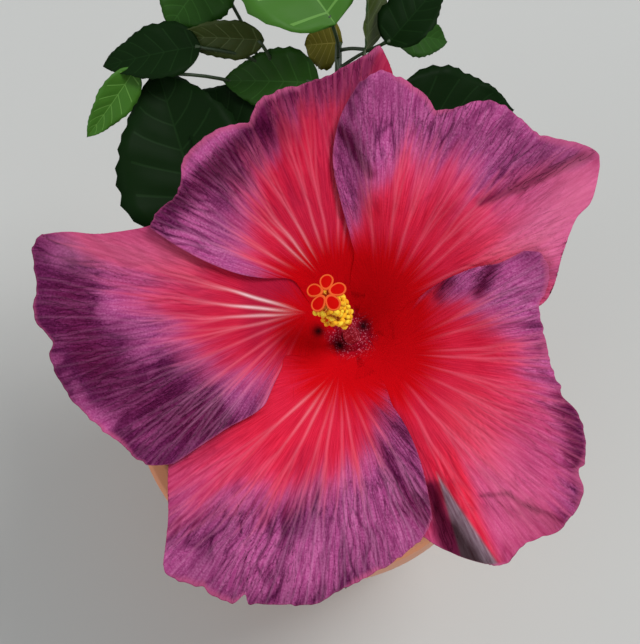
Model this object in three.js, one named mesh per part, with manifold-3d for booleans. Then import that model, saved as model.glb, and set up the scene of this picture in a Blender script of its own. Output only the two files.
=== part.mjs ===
// Hibiscus in a pot: one very large five-petalled flower over a small leafy
// shrub. Millimetres, +Z up, origin at the centre of the pot's flat underside.
// The flower looks up and 20 degrees forward, towards -Y.

import * as THREE from 'three';
import { mergeVertices } from 'three/addons/utils/BufferGeometryUtils.js';
import Module from 'manifold-3d';

const wasm = await Module();
wasm.setup();

// Air left between two pieces that rest on each other
const GAP = 0.3;

// Joins drop edges that change the surface by less than this
const SMALLEST_DETAIL = 0.04;

// Pot: tapered wall, a plain band under the rim, a flat underside
const POT_HEIGHT = 140;
const POT_RIM_RADIUS = 85;
const POT_BAND_HEIGHT = 24;
const POT_BAND_STEP = 4;
const POT_BASE_RADIUS = 60;
const POT_WALL = 4;
const POT_FLOOR = 6;
const POT_BEVEL = 1;
const POT_LIP = 1.5;
const POT_STEP_SLOPE = 2;
const POT_SIDES = 32;

// Soil: fills the pot to a little under the rim
const SOIL_TOP = 125;
const SOIL_EDGE_DROP = 3;
const SOIL_SHOULDER = [0.75, 1];
const SOIL_CROWN = 0.35;
const SOIL_CLEARANCE = 0.5;

// Trunk: a short woody stem with a flared foot on the soil
const TRUNK_LINE = [[3, 6, SOIL_TOP - 8], [4, 9, 140], [7, 10, 156], [6, 11, 172]];
const TRUNK_RADII = [[0, 14], [0.14, 9.6], [0.24, 7], [0.4, 6], [0.7, 5.4], [1, 5]];
const TRUNK_SIDES = 12;
const TRUNK_STEPS = 10;
const TRUNK_CUT = [80, 80, 40];

// Boughs: each starts in the trunk and is cut back clear of its surface
const BOUGHS = {
  bough_flower: { line: [[6, 11, 171], [8, 8, 184], [12, 2, 198]], base: 3.6, tip: 2.6 },
  bough_back: { line: [[6, 10, 164], [6, 32, 174], [7, 54, 198]], base: 4, tip: 2.7 },
  bough_back_left: { line: [[5, 10, 158], [-10, 28, 168], [-22, 44, 192]], base: 4, tip: 2.7 },
  bough_back_right: { line: [[6, 10, 152], [24, 22, 160], [38, 38, 178]], base: 3.6, tip: 2.4 },
  bough_right: { line: [[6, 10, 160], [26, 3, 164], [42, -2, 178]], base: 3.6, tip: 2.4 },
  bough_front: { line: [[6, 10, 150], [5, -10, 156], [1, -27, 172]], base: 3.6, tip: 2.4 },
  bough_left: { line: [[6, 10, 166], [-14, 6, 172], [-34, 1, 186]], base: 3.6, tip: 2.4 },
};
const BOUGH_SIDES = 7;
const BOUGH_STEPS = 6;

// Flower stalk: its thickness, how it bows, its straight neck under the calyx,
// and the line that leaves keep clear of
const FLOWER_STALK_RADII = [[0, 2.4], [0.5, 2.1], [0.8, 2.4], [1, 3]];
const FLOWER_STALK_BOW = 3;
const FLOWER_STALK_NECK = 8;
const FLOWER_STALK_ROOM = [[12, 2, 198], [14, -6, 246]];

// Flower: its middle, how far it looks forward, and the fan of its petals
const FLOWER_MIDDLE = [0, -26.5, 308];
const FLOWER_LEAN = 20;
const FAN = [11, -4.6];
const NARROWING = 560;
const CLAW_RADIUS = 6.2;
const PETAL_THICKNESS = 0.9;
const PETAL_COLUMNS = 10;
const PETAL_ROWS = 11;

// Waves of the petals' outer half: [height, waves round the flower, twist, start]
const RUFFLES = [[1.6, 9, 0.05, 0], [1.2, 14, 0, 1.3]];
const RUFFLE_RISE = [45, 105];
const ROW_CROWDING = 0.9;

// Height of the open flower over its middle plane, by distance from the fan
const FUNNEL = [[6, -44], [12, -37], [20, -28], [35, -14], [48, -7], [60, -3], [85, 0], [100, -2], [114, -6]];
const SIDE_LIFT = [[12, 0], [20, 1.5], [32, 2.1], [70, 2.2], [114, 2.6]];

// Petals. under: the side that lies under its neighbour; over: the side that
// lies on its other neighbour; both as [distance, angle]. edge: the outer
// margin as [angle, distance].
const PETALS = {
  petal_upper_right: {
    under: [[6, 18], [12, 12], [19, 6], [31, 18], [45, 18], [55, 14], [62, 9], [70, 10], [79, 20], [89, 27],
      [97, 29], [104, 33]],
    over: [[6, 64], [15, 76], [26, 86], [42, 93], [60, 96], [75, 93.5], [90, 88]],
    edge: [[33, 104], [36, 108], [42, 103], [48, 97], [55, 98], [60, 96], [68, 86.5], [74, 90], [83, 94], [88, 90]],
  },
  petal_upper: {
    under: [[6, 88], [15, 84], [25, 79], [45, 79], [70, 77], [90, 80], [97, 82.5]],
    over: [[6, 130], [15, 130], [28, 136], [36, 146], [44, 151], [55, 153], [68, 153], [81, 152]],
    edge: [[82.5, 97], [84.3, 103], [86.3, 100], [92, 94.5], [98, 91], [110, 90], [116, 85.5], [124, 87], [133, 86],
      [140, 79.5], [147, 81], [152, 81]],
  },
  petal_left: {
    under: [[6, 156], [15, 137], [25, 129], [40, 136], [60, 142], [72, 146], [82, 153], [94, 158], [105, 160],
      [113, 162]],
    over: [[6, 202], [15, 194], [24, 193], [28, 206], [33, 213], [40, 219], [55, 217], [78, 216]],
    edge: [[162, 113], [166, 115], [172, 112.5], [177, 112], [180, 107.5], [185, 107], [191, 103], [197, 98],
      [204, 91], [212, 86], [216, 78]],
  },
  petal_lower: {
    under: [[6, 226], [15, 204], [24, 186], [33, 203], [40, 208], [60, 206], [72, 209], [80, 216], [90, 224],
      [98, 228], [106, 231]],
    over: [[6, 274], [12, 284], [18, 293], [25, 299], [35, 301], [45, 300], [62, 296], [72, 293.5]],
    edge: [[231, 105], [233, 107], [239, 105], [246, 104], [253, 100], [262, 96], [269, 89], [280, 82], [289, 76],
      [293.5, 71]],
  },
  petal_lower_right: {
    under: [[6, 298], [12, 295], [18, 287], [25, 291], [35, 292], [50, 288], [65, 286], [76, 290], [85, 295],
      [96, 302]],
    over: [[6, 350], [12, 358], [19, 374], [23, 383], [31, 390], [48, 389], [58, 386], [68, 386]],
    edge: [[302, 96], [304, 98], [309, 96], [317, 100.5], [324, 100], [331, 95], [338, 89], [344, 80], [349, 73.5],
      [356, 70], [362, 68], [369, 68], [376, 72.5], [383, 73], [386, 68]],
  },
};

// Ridges and creases of the petals, measured from the fan:
// [x, y, x, y, height, width]
const FOLDS = [
  [0, 44, -4, 80, -4, 7],
  [9, 50, 7, 90, 4, 8],
  [50, 48, 84, 62, -3, 5],
  [60, 70, 40, 50, 3, 9],
  [12, 98, 0, 74, 6, 5],
  [-62, 52, -40, 78, 6, 6],
  [-52, 46, -32, 70, -5, 6],
  [-40, -2, -100, -6, 3, 12],
  [-50, -24, -80, -36, -3, 10],
  [-30, -50, -50, -86, 3, 9],
  [6, -44, 20, -74, 3, 8],
  [34, -58, 52, -90, 7, 6],
  [24, -62, 40, -92, -4, 5],
  [50, 8, 70, 26, 3, 7],
];

// Calyx: a green five-toothed cup under the petals
const FOOT = [11.9, -5, -45];
const CUP_DEPTH = 17;
const CUP_FLOOR = -3.4;
const CUP_WALL = 1.2;
const CUP_ROOM = 0.6;
const CUP_STEM = 2.6;
const CUP_BULGE = [5.2, 3];
const CUP_TEETH = 5;
const CUP_RINGS = 4;
const TOOTH_TIP = 24;
const TOOTH_NOTCH = 13;
const TOOTH_SHARPNESS = 1.4;
const TOOTH_ROOT = 2.5;
const TOOTH_BACK = 0.5;
const TOOTH_CLEARANCE = [1.5, 1.6];
const TOOTH_CLEARANCE_RISE = [11, 20];

// Staminal column, its pollen heads and its five stigma pads, all measured in
// the flower's frame
const COLUMN_LINE = [[11.9, -5, -47.9], [11.9, -4.9, -40], [8.6, 1.4, -20], [3.9, 7.6, -2]];
const COLUMN_RADII = [[0, 5.6], [0.06, 5.2], [0.16, 3.4], [0.5, 2.4], [1, 2]];
const COLUMN_SIDES = 12;
const COLUMN_STEPS = 12;
const ANTHER_SLEEVE = [0.5, 0.95];
const ANTHER_REACH = 5.3;
const ANTHER_SIZE = 1.5;
const ANTHER_COUNT = 28;
const ANTHER_INSET = [0.03, 0.02];
const ANTHER_SEAT = 1.2;
const SLEEVE_WALL = 1;
const SLEEVE_SIDES = 8;
const SLEEVE_STEPS = 4;
const COLUMN_END = { before: 0.03, at: 0.99, past: 2 };
const STIGMA_PADS = 5;
const STIGMA_RING = 4.9;
const STIGMA_RISE = 7;
const STIGMA_PAD = 2.8;
const STIGMA_FLATNESS = 0.8;
const STIGMA_TURN = 34;
const STIGMA_SEAT = 2;
const STIGMA_SEAT_RADII = [[0, 1.8], [1, 1.5]];
const STYLE_FOOT = { rise: 1, ring: 0.7 };
const STYLE_KNEE = { rise: 0.5, ring: 0.55 };
const STYLE_RADII = [[0, 0.8], [1, 0.7]];

// Leaves: ovate blades, [share of length, share of half width]
const BLADE_OUTLINE = [[0, 0], [0.1, 0.62], [0.36, 1], [0.7, 0.68], [1, 0]];
const BLADE_THICKNESS = 0.012;
const STALK_RADIUS = 0.9;
const SHOOT_RADII = [2.2, 1.1];
const GOLDEN_TURN = 137.5;
const BLADE_FOLD = 0.22;
const BLADE_DROOP = 0.1;
const BLADE_SUNK = 0.08;
const SHOWN_FACE = [0, -0.34, 0.94];
const STALK_TIP_RADIUS = 0.8;
const STALK_BOW = 3;
const STALKS = [14, 26];
const STALK_LEAN = [0.85, 0.5];
const FACE_LEAN = 0.2;
const LEAF_RISES = [-12, 40];
const RISE_SPREAD = 40;
const TURN_SPREAD = 50;
const LEAF_WIDTHS = [0.62, 0.74];
const FIRST_LEAF = 0.06;
const LEAF_RUN = 0.9;
const STEM_END = 0.97;
const SHOOT_BOW = 0.12;

// Leafy shoots. Each grows on from the tip of its bough and keeps to its own
// sector, given in degrees round the trunk. placed: leaves that show beside the
// flower, as [share up the shoot, blade base, blade tip, width, roll].
const SHOOTS = {
  shoot_back: {
    bough: 'bough_back', end: [7, 99, 284], sector: [62, 101], seed: 11, leaves: 10, smallest: 46, largest: 62,
    placed: [
      [0.95, [6, 95, 306], [-38, 147, 326], 50, 10],
      [0.8, [9, 108, 270], [-7, 111, 263], 22, 0],
      [0.8, [30, 108, 278], [53, 110, 268], 18, 0],
      [1, [18, 93, 287], [21, 110, 318], 26, 75],
      [0.9, [26, 92, 296], [47, 116, 306], 22, -20],
    ],
  },
  shoot_back_left: {
    bough: 'bough_back_left', end: [-17, 97, 272], sector: [101, 152], seed: 23, leaves: 9, smallest: 48,
    largest: 64,
    placed: [
      [1, [-47, 98, 285], [-86, 91, 284], 23, 12],
      [0.95, [-22, 101, 284], [-58, 100, 286], 16, -30],
      [0.9, [-73, 90, 281], [-92, 65, 269], 15, -25],
      [0.45, [-44, 31, 250], [-65, 91, 280], 56, 0],
      [0.7, [-24, 62, 262], [-52, 88, 268], 36, 10],
      [0.95, [0, 88, 273], [-39, 89, 274], 26, 0],
      [0.9, [-42, 130, 292], [-60, 106, 286], 32, 0],
    ],
  },
  shoot_back_right: {
    bough: 'bough_back_right', end: [36, 82, 246], sector: [14, 62], seed: 37, leaves: 11, smallest: 46, largest: 62,
    placed: [
      [0.9, [30, 84, 256], [82, 90, 248], 36, 0],
    ],
  },
  shoot_right: {
    bough: 'bough_right', end: [50, -8, 240], sector: [-46, 14], seed: 41, leaves: 12, smallest: 46, largest: 62,
    placed: [],
  },
  shoot_front: {
    bough: 'bough_front', end: [-2, -42, 226], sector: [-128, -46], seed: 53, leaves: 11, smallest: 44, largest: 58,
    placed: [],
  },
  shoot_left: {
    bough: 'bough_left', end: [-48, -6, 246], sector: [152, 232], seed: 67, leaves: 12, smallest: 46, largest: 64,
    placed: [],
  },
};
const SECTOR_MIDDLE = [5, 10];
const SECTOR_START = 10;
const SECTOR_SLACK = 20;
const SECTOR_MARGIN = 1.5;
const SHRUB_REACH = 122;
const LIMB_CLEARANCE = 5.5;
const PETAL_CLEARANCE = 9;
const PETAL_COVER = 3;
const SHOWN_EDGE = 118;
const LEAF_SPACING = 16;
const SHRINK = 0.985;
const LOWEST_LEAF = 128;
const TRIES = 60;

// Surface finishes
const FINISHES = {
  pot: { color: '#c9825f', roughness: 0.75 },
  soil: { color: '#3a2a20', roughness: 0.95 },
  bark: { color: '#6b5f48', roughness: 0.85 },
  greenwood: { color: '#3f4f2a', roughness: 0.7 },
  leaf: { color: '#24431a', roughness: 0.45 },
  petal: { color: '#b03457', roughness: 0.6 },
  column: { color: '#c2203a', roughness: 0.5 },
  anther: { color: '#f6b20a', roughness: 0.8 },
  stigma: { color: '#b50907', roughness: 0.9 },
};

const degrees = THREE.MathUtils.degToRad;
const point = (a) => new THREE.Vector3(a[0], a[1], a[2]);
const mix = THREE.MathUtils.lerp;

// A smooth curve through pairs [x, y], level beyond both ends
function through(pairs, x) {
  const last = pairs.length - 1;
  if (x <= pairs[0][0]) return pairs[0][1];
  if (x >= pairs[last][0]) return pairs[last][1];
  let i = 0;
  while (pairs[i + 1][0] < x) i += 1;
  const slope = (k) => {
    const before = pairs[Math.max(k - 1, 0)];
    const after = pairs[Math.min(k + 1, last)];
    return (after[1] - before[1]) / (after[0] - before[0]);
  };
  const [x0, y0] = pairs[i];
  const [x1, y1] = pairs[i + 1];
  const run = x1 - x0;
  const s = (x - x0) / run;
  const rise = s * s * (3 - 2 * s);
  return y0 + (y1 - y0) * rise + run * s * (1 - s) * ((1 - s) * slope(i) - s * slope(i + 1));
}

// Repeatable numbers from 0 to 1
function dice(seed) {
  let state = seed >>> 0;
  return () => {
    state = (Math.imul(state, 1664525) + 1013904223) >>> 0;
    return state / 4294967296;
  };
}

// Keeps position only, with shared corners, so that the surface is closed
function closed(geometry) {
  const bare = geometry.clone();
  bare.deleteAttribute('normal');
  bare.deleteAttribute('uv');
  return mergeVertices(bare, 1e-4);
}

function solid(geometry) {
  const bare = closed(geometry);
  return new wasm.Manifold(new wasm.Mesh({
    numProp: 3,
    vertProperties: new Float32Array(bare.attributes.position.array),
    triVerts: new Uint32Array(bare.index.array),
  }));
}

function geometryOf(body) {
  const { vertProperties, triVerts } = body.simplify(SMALLEST_DETAIL).getMesh();
  const geometry = new THREE.BufferGeometry();
  geometry.setAttribute('position', new THREE.BufferAttribute(vertProperties, 3));
  geometry.setIndex(new THREE.BufferAttribute(triVerts, 1));
  geometry.computeVertexNormals();
  return geometry;
}

// The largest connected body of a join
function whole(bodies) {
  const joined = bodies.reduce((sum, body) => sum.add(body));
  const pieces = joined.decompose();
  return pieces.reduce((best, piece) => (piece.volume() > best.volume() ? piece : best));
}

function piece(name, geometry, finish) {
  const mesh = new THREE.Mesh(geometry, new THREE.MeshStandardMaterial({ ...FINISHES[finish], metalness: 0 }));
  mesh.name = name;
  return mesh;
}

// Moves each corner of a geometry to the place that a rule gives for it
function reshape(geometry, rule) {
  const bare = closed(geometry);
  const place = bare.attributes.position;
  const from = new THREE.Vector3();
  for (let i = 0; i < place.count; i += 1) {
    const to = rule(from.fromBufferAttribute(place, i));
    place.setXYZ(i, to.x, to.y, to.z);
  }
  bare.computeVertexNormals();
  return bare;
}

// A tapering limb with flat ends: a cylinder bent along a curve
function limb(line, radii, sides, steps) {
  const curve = new THREE.CatmullRomCurve3(line.map(point));
  const frames = curve.computeFrenetFrames(steps, false);
  const post = new THREE.CylinderGeometry(1, 1, 1, sides, steps);
  return reshape(post, (p) => {
    const k = Math.round((p.y + 0.5) * steps);
    const radius = through(radii, k / steps);
    return curve.getPointAt(k / steps)
      .addScaledVector(frames.normals[k], -p.z * radius)
      .addScaledVector(frames.binormals[k], -p.x * radius);
  });
}

function lathe(profile, sides) {
  const geometry = new THREE.LatheGeometry(profile.map(([r, z]) => new THREE.Vector2(r, z)), sides);
  return geometry.rotateX(Math.PI / 2);
}

function makePot() {
  const bandFoot = POT_HEIGHT - POT_BAND_HEIGHT;
  const wallTop = POT_RIM_RADIUS - POT_BAND_STEP;
  const inside = wallTop - POT_WALL;
  return piece('pot', lathe([
    [0, 0],
    [POT_BASE_RADIUS - POT_BEVEL, 0],
    [POT_BASE_RADIUS, POT_BEVEL],
    [wallTop - POT_STEP_SLOPE, bandFoot - POT_BEVEL],
    [POT_RIM_RADIUS - POT_STEP_SLOPE, bandFoot],
    [POT_RIM_RADIUS - POT_BEVEL, bandFoot + POT_BEVEL],
    [POT_RIM_RADIUS, POT_HEIGHT - POT_LIP],
    [POT_RIM_RADIUS - POT_LIP, POT_HEIGHT],
    [inside + POT_LIP, POT_HEIGHT],
    [inside, POT_HEIGHT - POT_LIP],
    [inside - POT_BEVEL, bandFoot],
    [POT_BASE_RADIUS - POT_WALL, POT_FLOOR],
    [0, POT_FLOOR],
  ], POT_SIDES), 'pot');
}

function makeSoil() {
  const inside = POT_RIM_RADIUS - POT_BAND_STEP - POT_WALL - POT_BEVEL;
  const bandFoot = POT_HEIGHT - POT_BAND_HEIGHT;
  return piece('soil', lathe([
    [0, POT_FLOOR + GAP],
    [POT_BASE_RADIUS - POT_WALL - SOIL_CLEARANCE, POT_FLOOR + GAP],
    [inside - SOIL_CLEARANCE, bandFoot],
    [inside - SOIL_CLEARANCE, SOIL_TOP - SOIL_EDGE_DROP],
    [inside * SOIL_SHOULDER[0], SOIL_TOP - SOIL_SHOULDER[1]],
    [inside * SOIL_CROWN, SOIL_TOP],
    [0, SOIL_TOP],
  ], POT_SIDES), 'soil');
}

// The trunk stands on the soil with a flat cut
function makeTrunk() {
  const ground = new THREE.BoxGeometry(...TRUNK_CUT);
  ground.translate(0, 0, SOIL_TOP + GAP - TRUNK_CUT[2] / 2);
  const stem = solid(limb(TRUNK_LINE, TRUNK_RADII, TRUNK_SIDES, TRUNK_STEPS));
  return piece('trunk', geometryOf(stem.subtract(solid(ground))), 'bark');
}

const boughCurves = Object.fromEntries(
  Object.entries(BOUGHS).map(([name, { line }]) => [name, new THREE.CatmullRomCurve3(line.map(point))]),
);

// A bough with the gap added all round and past its tip
function boughRoom(name) {
  const { line, base, tip } = BOUGHS[name];
  const past = boughCurves[name].getPointAt(1).addScaledVector(boughCurves[name].getTangentAt(1), GAP);
  const longer = [...line.slice(0, -1), past.toArray()];
  return solid(limb(longer, [[0, base + GAP], [1, tip + GAP]], BOUGH_SIDES, BOUGH_STEPS));
}

const trunkRoom = solid(limb(TRUNK_LINE, TRUNK_RADII.map(([t, r]) => [t, r + GAP]), TRUNK_SIDES, TRUNK_STEPS));

// Boughs are trimmed clear of the trunk and of the boughs before them
function makeBoughs() {
  const taken = [trunkRoom];
  return Object.entries(BOUGHS).map(([name, { line, base, tip }]) => {
    let body = solid(limb(line, [[0, base], [1, tip]], BOUGH_SIDES, BOUGH_STEPS));
    for (const other of taken) body = body.subtract(other);
    taken.push(boughRoom(name));
    return piece(name, geometryOf(whole([body])), name === 'bough_flower' ? 'greenwood' : 'bark');
  });
}

// One leaf blade, a thin pillow folded a little along its midrib
function blade(base, tip, width, face) {
  const along = tip.clone().sub(base);
  const length = along.length();
  along.normalize();
  const up = face.clone().addScaledVector(along, -face.dot(along)).normalize();
  const side = new THREE.Vector3().crossVectors(along, up);
  const thick = length * BLADE_THICKNESS;
  const rows = BLADE_OUTLINE.length - 1;
  const box = new THREE.BoxGeometry(2, rows, 2, 2, rows, 1);
  return reshape(box, (p) => {
    const [share, half] = BLADE_OUTLINE[Math.round(p.y + rows / 2)];
    const reach = p.x * half * width / 2;
    const depth = Math.abs(p.x) < 0.5 && half > 0 ? p.z * thick / 2 : 0;
    const lift = Math.abs(reach) * BLADE_FOLD - BLADE_DROOP * length * share * share + depth;
    return base.clone().addScaledVector(along, length * share).addScaledVector(side, reach).addScaledVector(up, lift);
  });
}

// Places on a blade that keep clear of everything else
function bladeSamples(base, tip, width, face) {
  const along = tip.clone().sub(base);
  const side = new THREE.Vector3().crossVectors(along, face).normalize();
  const samples = [];
  for (const [share, half] of BLADE_OUTLINE) {
    for (const across of [-1, -0.5, 0, 0.5, 1]) {
      samples.push(base.clone().addScaledVector(along, share).addScaledVector(side, across * half * width / 2));
    }
  }
  return samples;
}

const limbPoints = Object.values(BOUGHS).concat([{ line: TRUNK_LINE }, { line: FLOWER_STALK_ROOM }])
  .flatMap(({ line }) => new THREE.CatmullRomCurve3(line.map(point)).getPoints(14));

// The flower's outline as [angle, distance], once round from its first petal
const OUTLINE_START = PETALS.petal_upper_right.edge[0][0];
const OUTLINE = Object.values(PETALS).flatMap(({ edge }) => edge)
  .filter(([angle], i, all) => i === 0 || angle > Math.max(...all.slice(0, i).map((pair) => pair[0])));

// True where a place is clear below the open flower, and either hidden by it
// from above or past the leaves that show behind it
function underFlower(place) {
  const lean = degrees(FLOWER_LEAN);
  const from = place.clone().sub(point(FLOWER_MIDDLE));
  const across = from.y * Math.cos(lean) + from.z * Math.sin(lean);
  const high = from.z * Math.cos(lean) - from.y * Math.sin(lean);
  const spread = 1 - high / NARROWING;
  const x = from.x / spread - FAN[0];
  const y = across / spread - FAN[1];
  const turned = THREE.MathUtils.radToDeg(Math.atan2(y, x)) + (360 - OUTLINE_START);
  const angle = turned % 360 + OUTLINE_START;
  const reach = Math.hypot(x, y);
  if (across / spread > SHOWN_EDGE) return true;
  return reach < through(OUTLINE, angle) - PETAL_COVER && high < through(FUNNEL, reach) - PETAL_CLEARANCE;
}

function inSector(place, [first, last]) {
  const x = place.x - SECTOR_MIDDLE[0];
  const y = place.y - SECTOR_MIDDLE[1];
  const reach = Math.hypot(x, y);
  if (reach < SECTOR_START || reach > SHRUB_REACH || place.z < LOWEST_LEAF) return false;
  let angle = THREE.MathUtils.radToDeg(Math.atan2(y, x));
  if (angle < first - SECTOR_SLACK) angle += 360;
  const margin = THREE.MathUtils.radToDeg(SECTOR_MARGIN / reach);
  return angle > first + margin && angle < last - margin;
}

function makeShoot(name, shoot) {
  const { bough, end, sector, seed, leaves, smallest, largest, placed } = shoot;
  const roll = dice(seed);
  const heading = boughCurves[bough].getTangentAt(1);
  const start = boughCurves[bough].getPointAt(1);
  const finish = point(end);
  const middle = start.clone().lerp(finish, 0.5).addScaledVector(heading, start.distanceTo(finish) * SHOOT_BOW);
  const stem = new THREE.CatmullRomCurve3([start, middle, finish]);
  const bodies = [solid(limb(stem.points.map((p) => p.toArray()), [[0, SHOOT_RADII[0]], [1, SHOOT_RADII[1]]], 6, 8))];

  const addLeaf = (share, base, bladeEnd, width, face) => {
    const root = stem.getPointAt(share * STEM_END);
    const sunk = base.clone().lerp(bladeEnd, BLADE_SUNK);
    const bend = root.clone().lerp(base, 0.5).add(new THREE.Vector3(0, 0, STALK_BOW));
    bodies.push(solid(limb([root.toArray(), bend.toArray(), sunk.toArray()],
      [[0, STALK_RADIUS], [1, STALK_TIP_RADIUS]], 3, 2)));
    bodies.push(solid(blade(base, bladeEnd, width, face)));
  };

  for (const [share, base, leafTip, width, turn] of placed) {
    const along = point(leafTip).sub(point(base)).normalize();
    const face = point(SHOWN_FACE).applyAxisAngle(along, degrees(turn));
    addLeaf(share, point(base), point(leafTip), width, face);
  }

  const middles = [];
  let spin = roll() * 360;
  for (let k = 0; k < leaves; k += 1) {
    const share = FIRST_LEAF + LEAF_RUN * k / (leaves - 1);
    for (let attempt = 0; attempt < TRIES; attempt += 1) {
      spin += GOLDEN_TURN + (roll() - 0.5) * TURN_SPREAD;
      const length = mix(smallest, largest, roll()) * SHRINK ** attempt;
      const stalk = mix(...STALKS, roll());
      const rise = mix(...LEAF_RISES, share) + (roll() - 0.5) * RISE_SPREAD;
      const width = length * mix(...LEAF_WIDTHS, roll());
      const out = new THREE.Vector3(Math.cos(degrees(spin)), Math.sin(degrees(spin)), 0);
      const root = stem.getPointAt(share * STEM_END);
      const base = root.clone().addScaledVector(out, stalk * STALK_LEAN[0]);
      base.z += stalk * STALK_LEAN[1];
      const lift = degrees(rise);
      const bladeEnd = base.clone().addScaledVector(out, length * Math.cos(lift));
      bladeEnd.z += length * Math.sin(lift);
      const face = new THREE.Vector3(0, 0, 1).addScaledVector(out, -FACE_LEAN);
      const samples = bladeSamples(base, bladeEnd, width, face);
      const centre = base.clone().lerp(bladeEnd, 0.5);
      const apart = middles.every((p) => p.distanceTo(centre) > LEAF_SPACING);
      const free = apart && samples.every((p) => inSector(p, sector) && underFlower(p)
        && limbPoints.every((q) => q.distanceTo(p) > LIMB_CLEARANCE));
      if (free) {
        middles.push(centre);
        addLeaf(share, base, bladeEnd, width, face);
        break;
      }
    }
  }
  return piece(name, geometryOf(whole([whole(bodies).subtract(boughRoom(bough))])), 'leaf');
}

// Height of a petal over the flower's middle plane
function petalHeight(x, y, side) {
  const reach = Math.hypot(x, y);
  const angle = Math.atan2(y, x);
  const outer = THREE.MathUtils.smoothstep(reach, ...RUFFLE_RISE);
  let high = through(FUNNEL, reach) + through(SIDE_LIFT, reach) * side;
  for (const [height, waves, twist, first] of RUFFLES) {
    high += outer * height * Math.sin(waves * angle + twist * reach + first);
  }
  for (const [x0, y0, x1, y1, height, width] of FOLDS) {
    const run = Math.hypot(x1 - x0, y1 - y0);
    const along = THREE.MathUtils.clamp(((x - x0) * (x1 - x0) + (y - y0) * (y1 - y0)) / (run * run), 0, 1);
    const off = Math.hypot(x - mix(x0, x1, along), y - mix(y0, y1, along));
    high += height * Math.exp(-((off / width) ** 2));
  }
  return high;
}

function makePetal(name, { under, over, edge }) {
  const firstAngle = edge[0][0];
  const lastAngle = edge[edge.length - 1][0];
  const firstReach = edge[0][1];
  const lastReach = edge[edge.length - 1][1];
  const box = new THREE.BoxGeometry(1, 1, 1, PETAL_COLUMNS, PETAL_ROWS, 1);
  return piece(name, reshape(box, (p) => {
    const across = p.x + 0.5;
    const out = (p.y + 0.5) ** ROW_CROWDING;
    const marginAngle = mix(firstAngle, lastAngle, across);
    const reach = mix(CLAW_RADIUS, through(edge, marginAngle), out);
    const low = through(under, mix(CLAW_RADIUS, firstReach, out));
    const high = through(over, mix(CLAW_RADIUS, lastReach, out));
    const angle = degrees(mix(low, high, across));
    const x = reach * Math.cos(angle);
    const y = reach * Math.sin(angle);
    const z = petalHeight(x, y, 2 * across - 1);
    const narrow = 1 - z / NARROWING;
    return new THREE.Vector3((FAN[0] + x) * narrow, (FAN[1] + y) * narrow, z - p.z * PETAL_THICKNESS);
  }), 'petal');
}

// The lathe only numbers the rings of the teeth: outside them at level 0, inside
// at level 1, from the ring that stands for the root of the teeth outwards
function makeCalyx() {
  const root = 10;
  const inner = CLAW_RADIUS + CUP_ROOM;
  const profile = [[0, -CUP_DEPTH], [CUP_STEM, -CUP_DEPTH], [CUP_BULGE[0], -CUP_DEPTH + CUP_BULGE[1]]];
  for (let k = 0; k <= CUP_RINGS; k += 1) profile.push([root + k, 0]);
  for (let k = CUP_RINGS; k >= 0; k -= 1) profile.push([root + k, 1]);
  profile.push([inner - TOOTH_BACK, 2], [0, 2]);
  const cup = reshape(lathe(profile, CUP_TEETH * 5), (p) => {
    const reach = Math.hypot(p.x, p.y);
    const level = Math.round(p.z);
    if (Math.round(reach) < root) return new THREE.Vector3(p.x, p.y, level === 2 ? CUP_FLOOR : p.z);
    const share = (reach - root) / CUP_RINGS;
    const angle = Math.atan2(p.y, p.x);
    const tooth = Math.abs(Math.cos(angle * CUP_TEETH / 2)) ** TOOTH_SHARPNESS;
    const wide = mix(inner, mix(TOOTH_NOTCH, TOOTH_TIP, tooth), share);
    const clear = TOOTH_CLEARANCE[0]
      + TOOTH_CLEARANCE[1] * THREE.MathUtils.smoothstep(wide, ...TOOTH_CLEARANCE_RISE);
    const petal = through(FUNNEL, wide / (1 - FOOT[2] / NARROWING)) - FOOT[2] - clear;
    const height = level === 1 ? petal : petal - CUP_WALL - TOOTH_ROOT * (1 - share) ** 2;
    const out = level === 1 ? wide : wide + TOOTH_BACK;
    return new THREE.Vector3(p.x / reach * out, p.y / reach * out, height);
  });
  const mesh = piece('calyx', cup, 'greenwood');
  mesh.position.set(...FOOT);
  return mesh;
}

const columnCurve = new THREE.CatmullRomCurve3(COLUMN_LINE.map(point));

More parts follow.
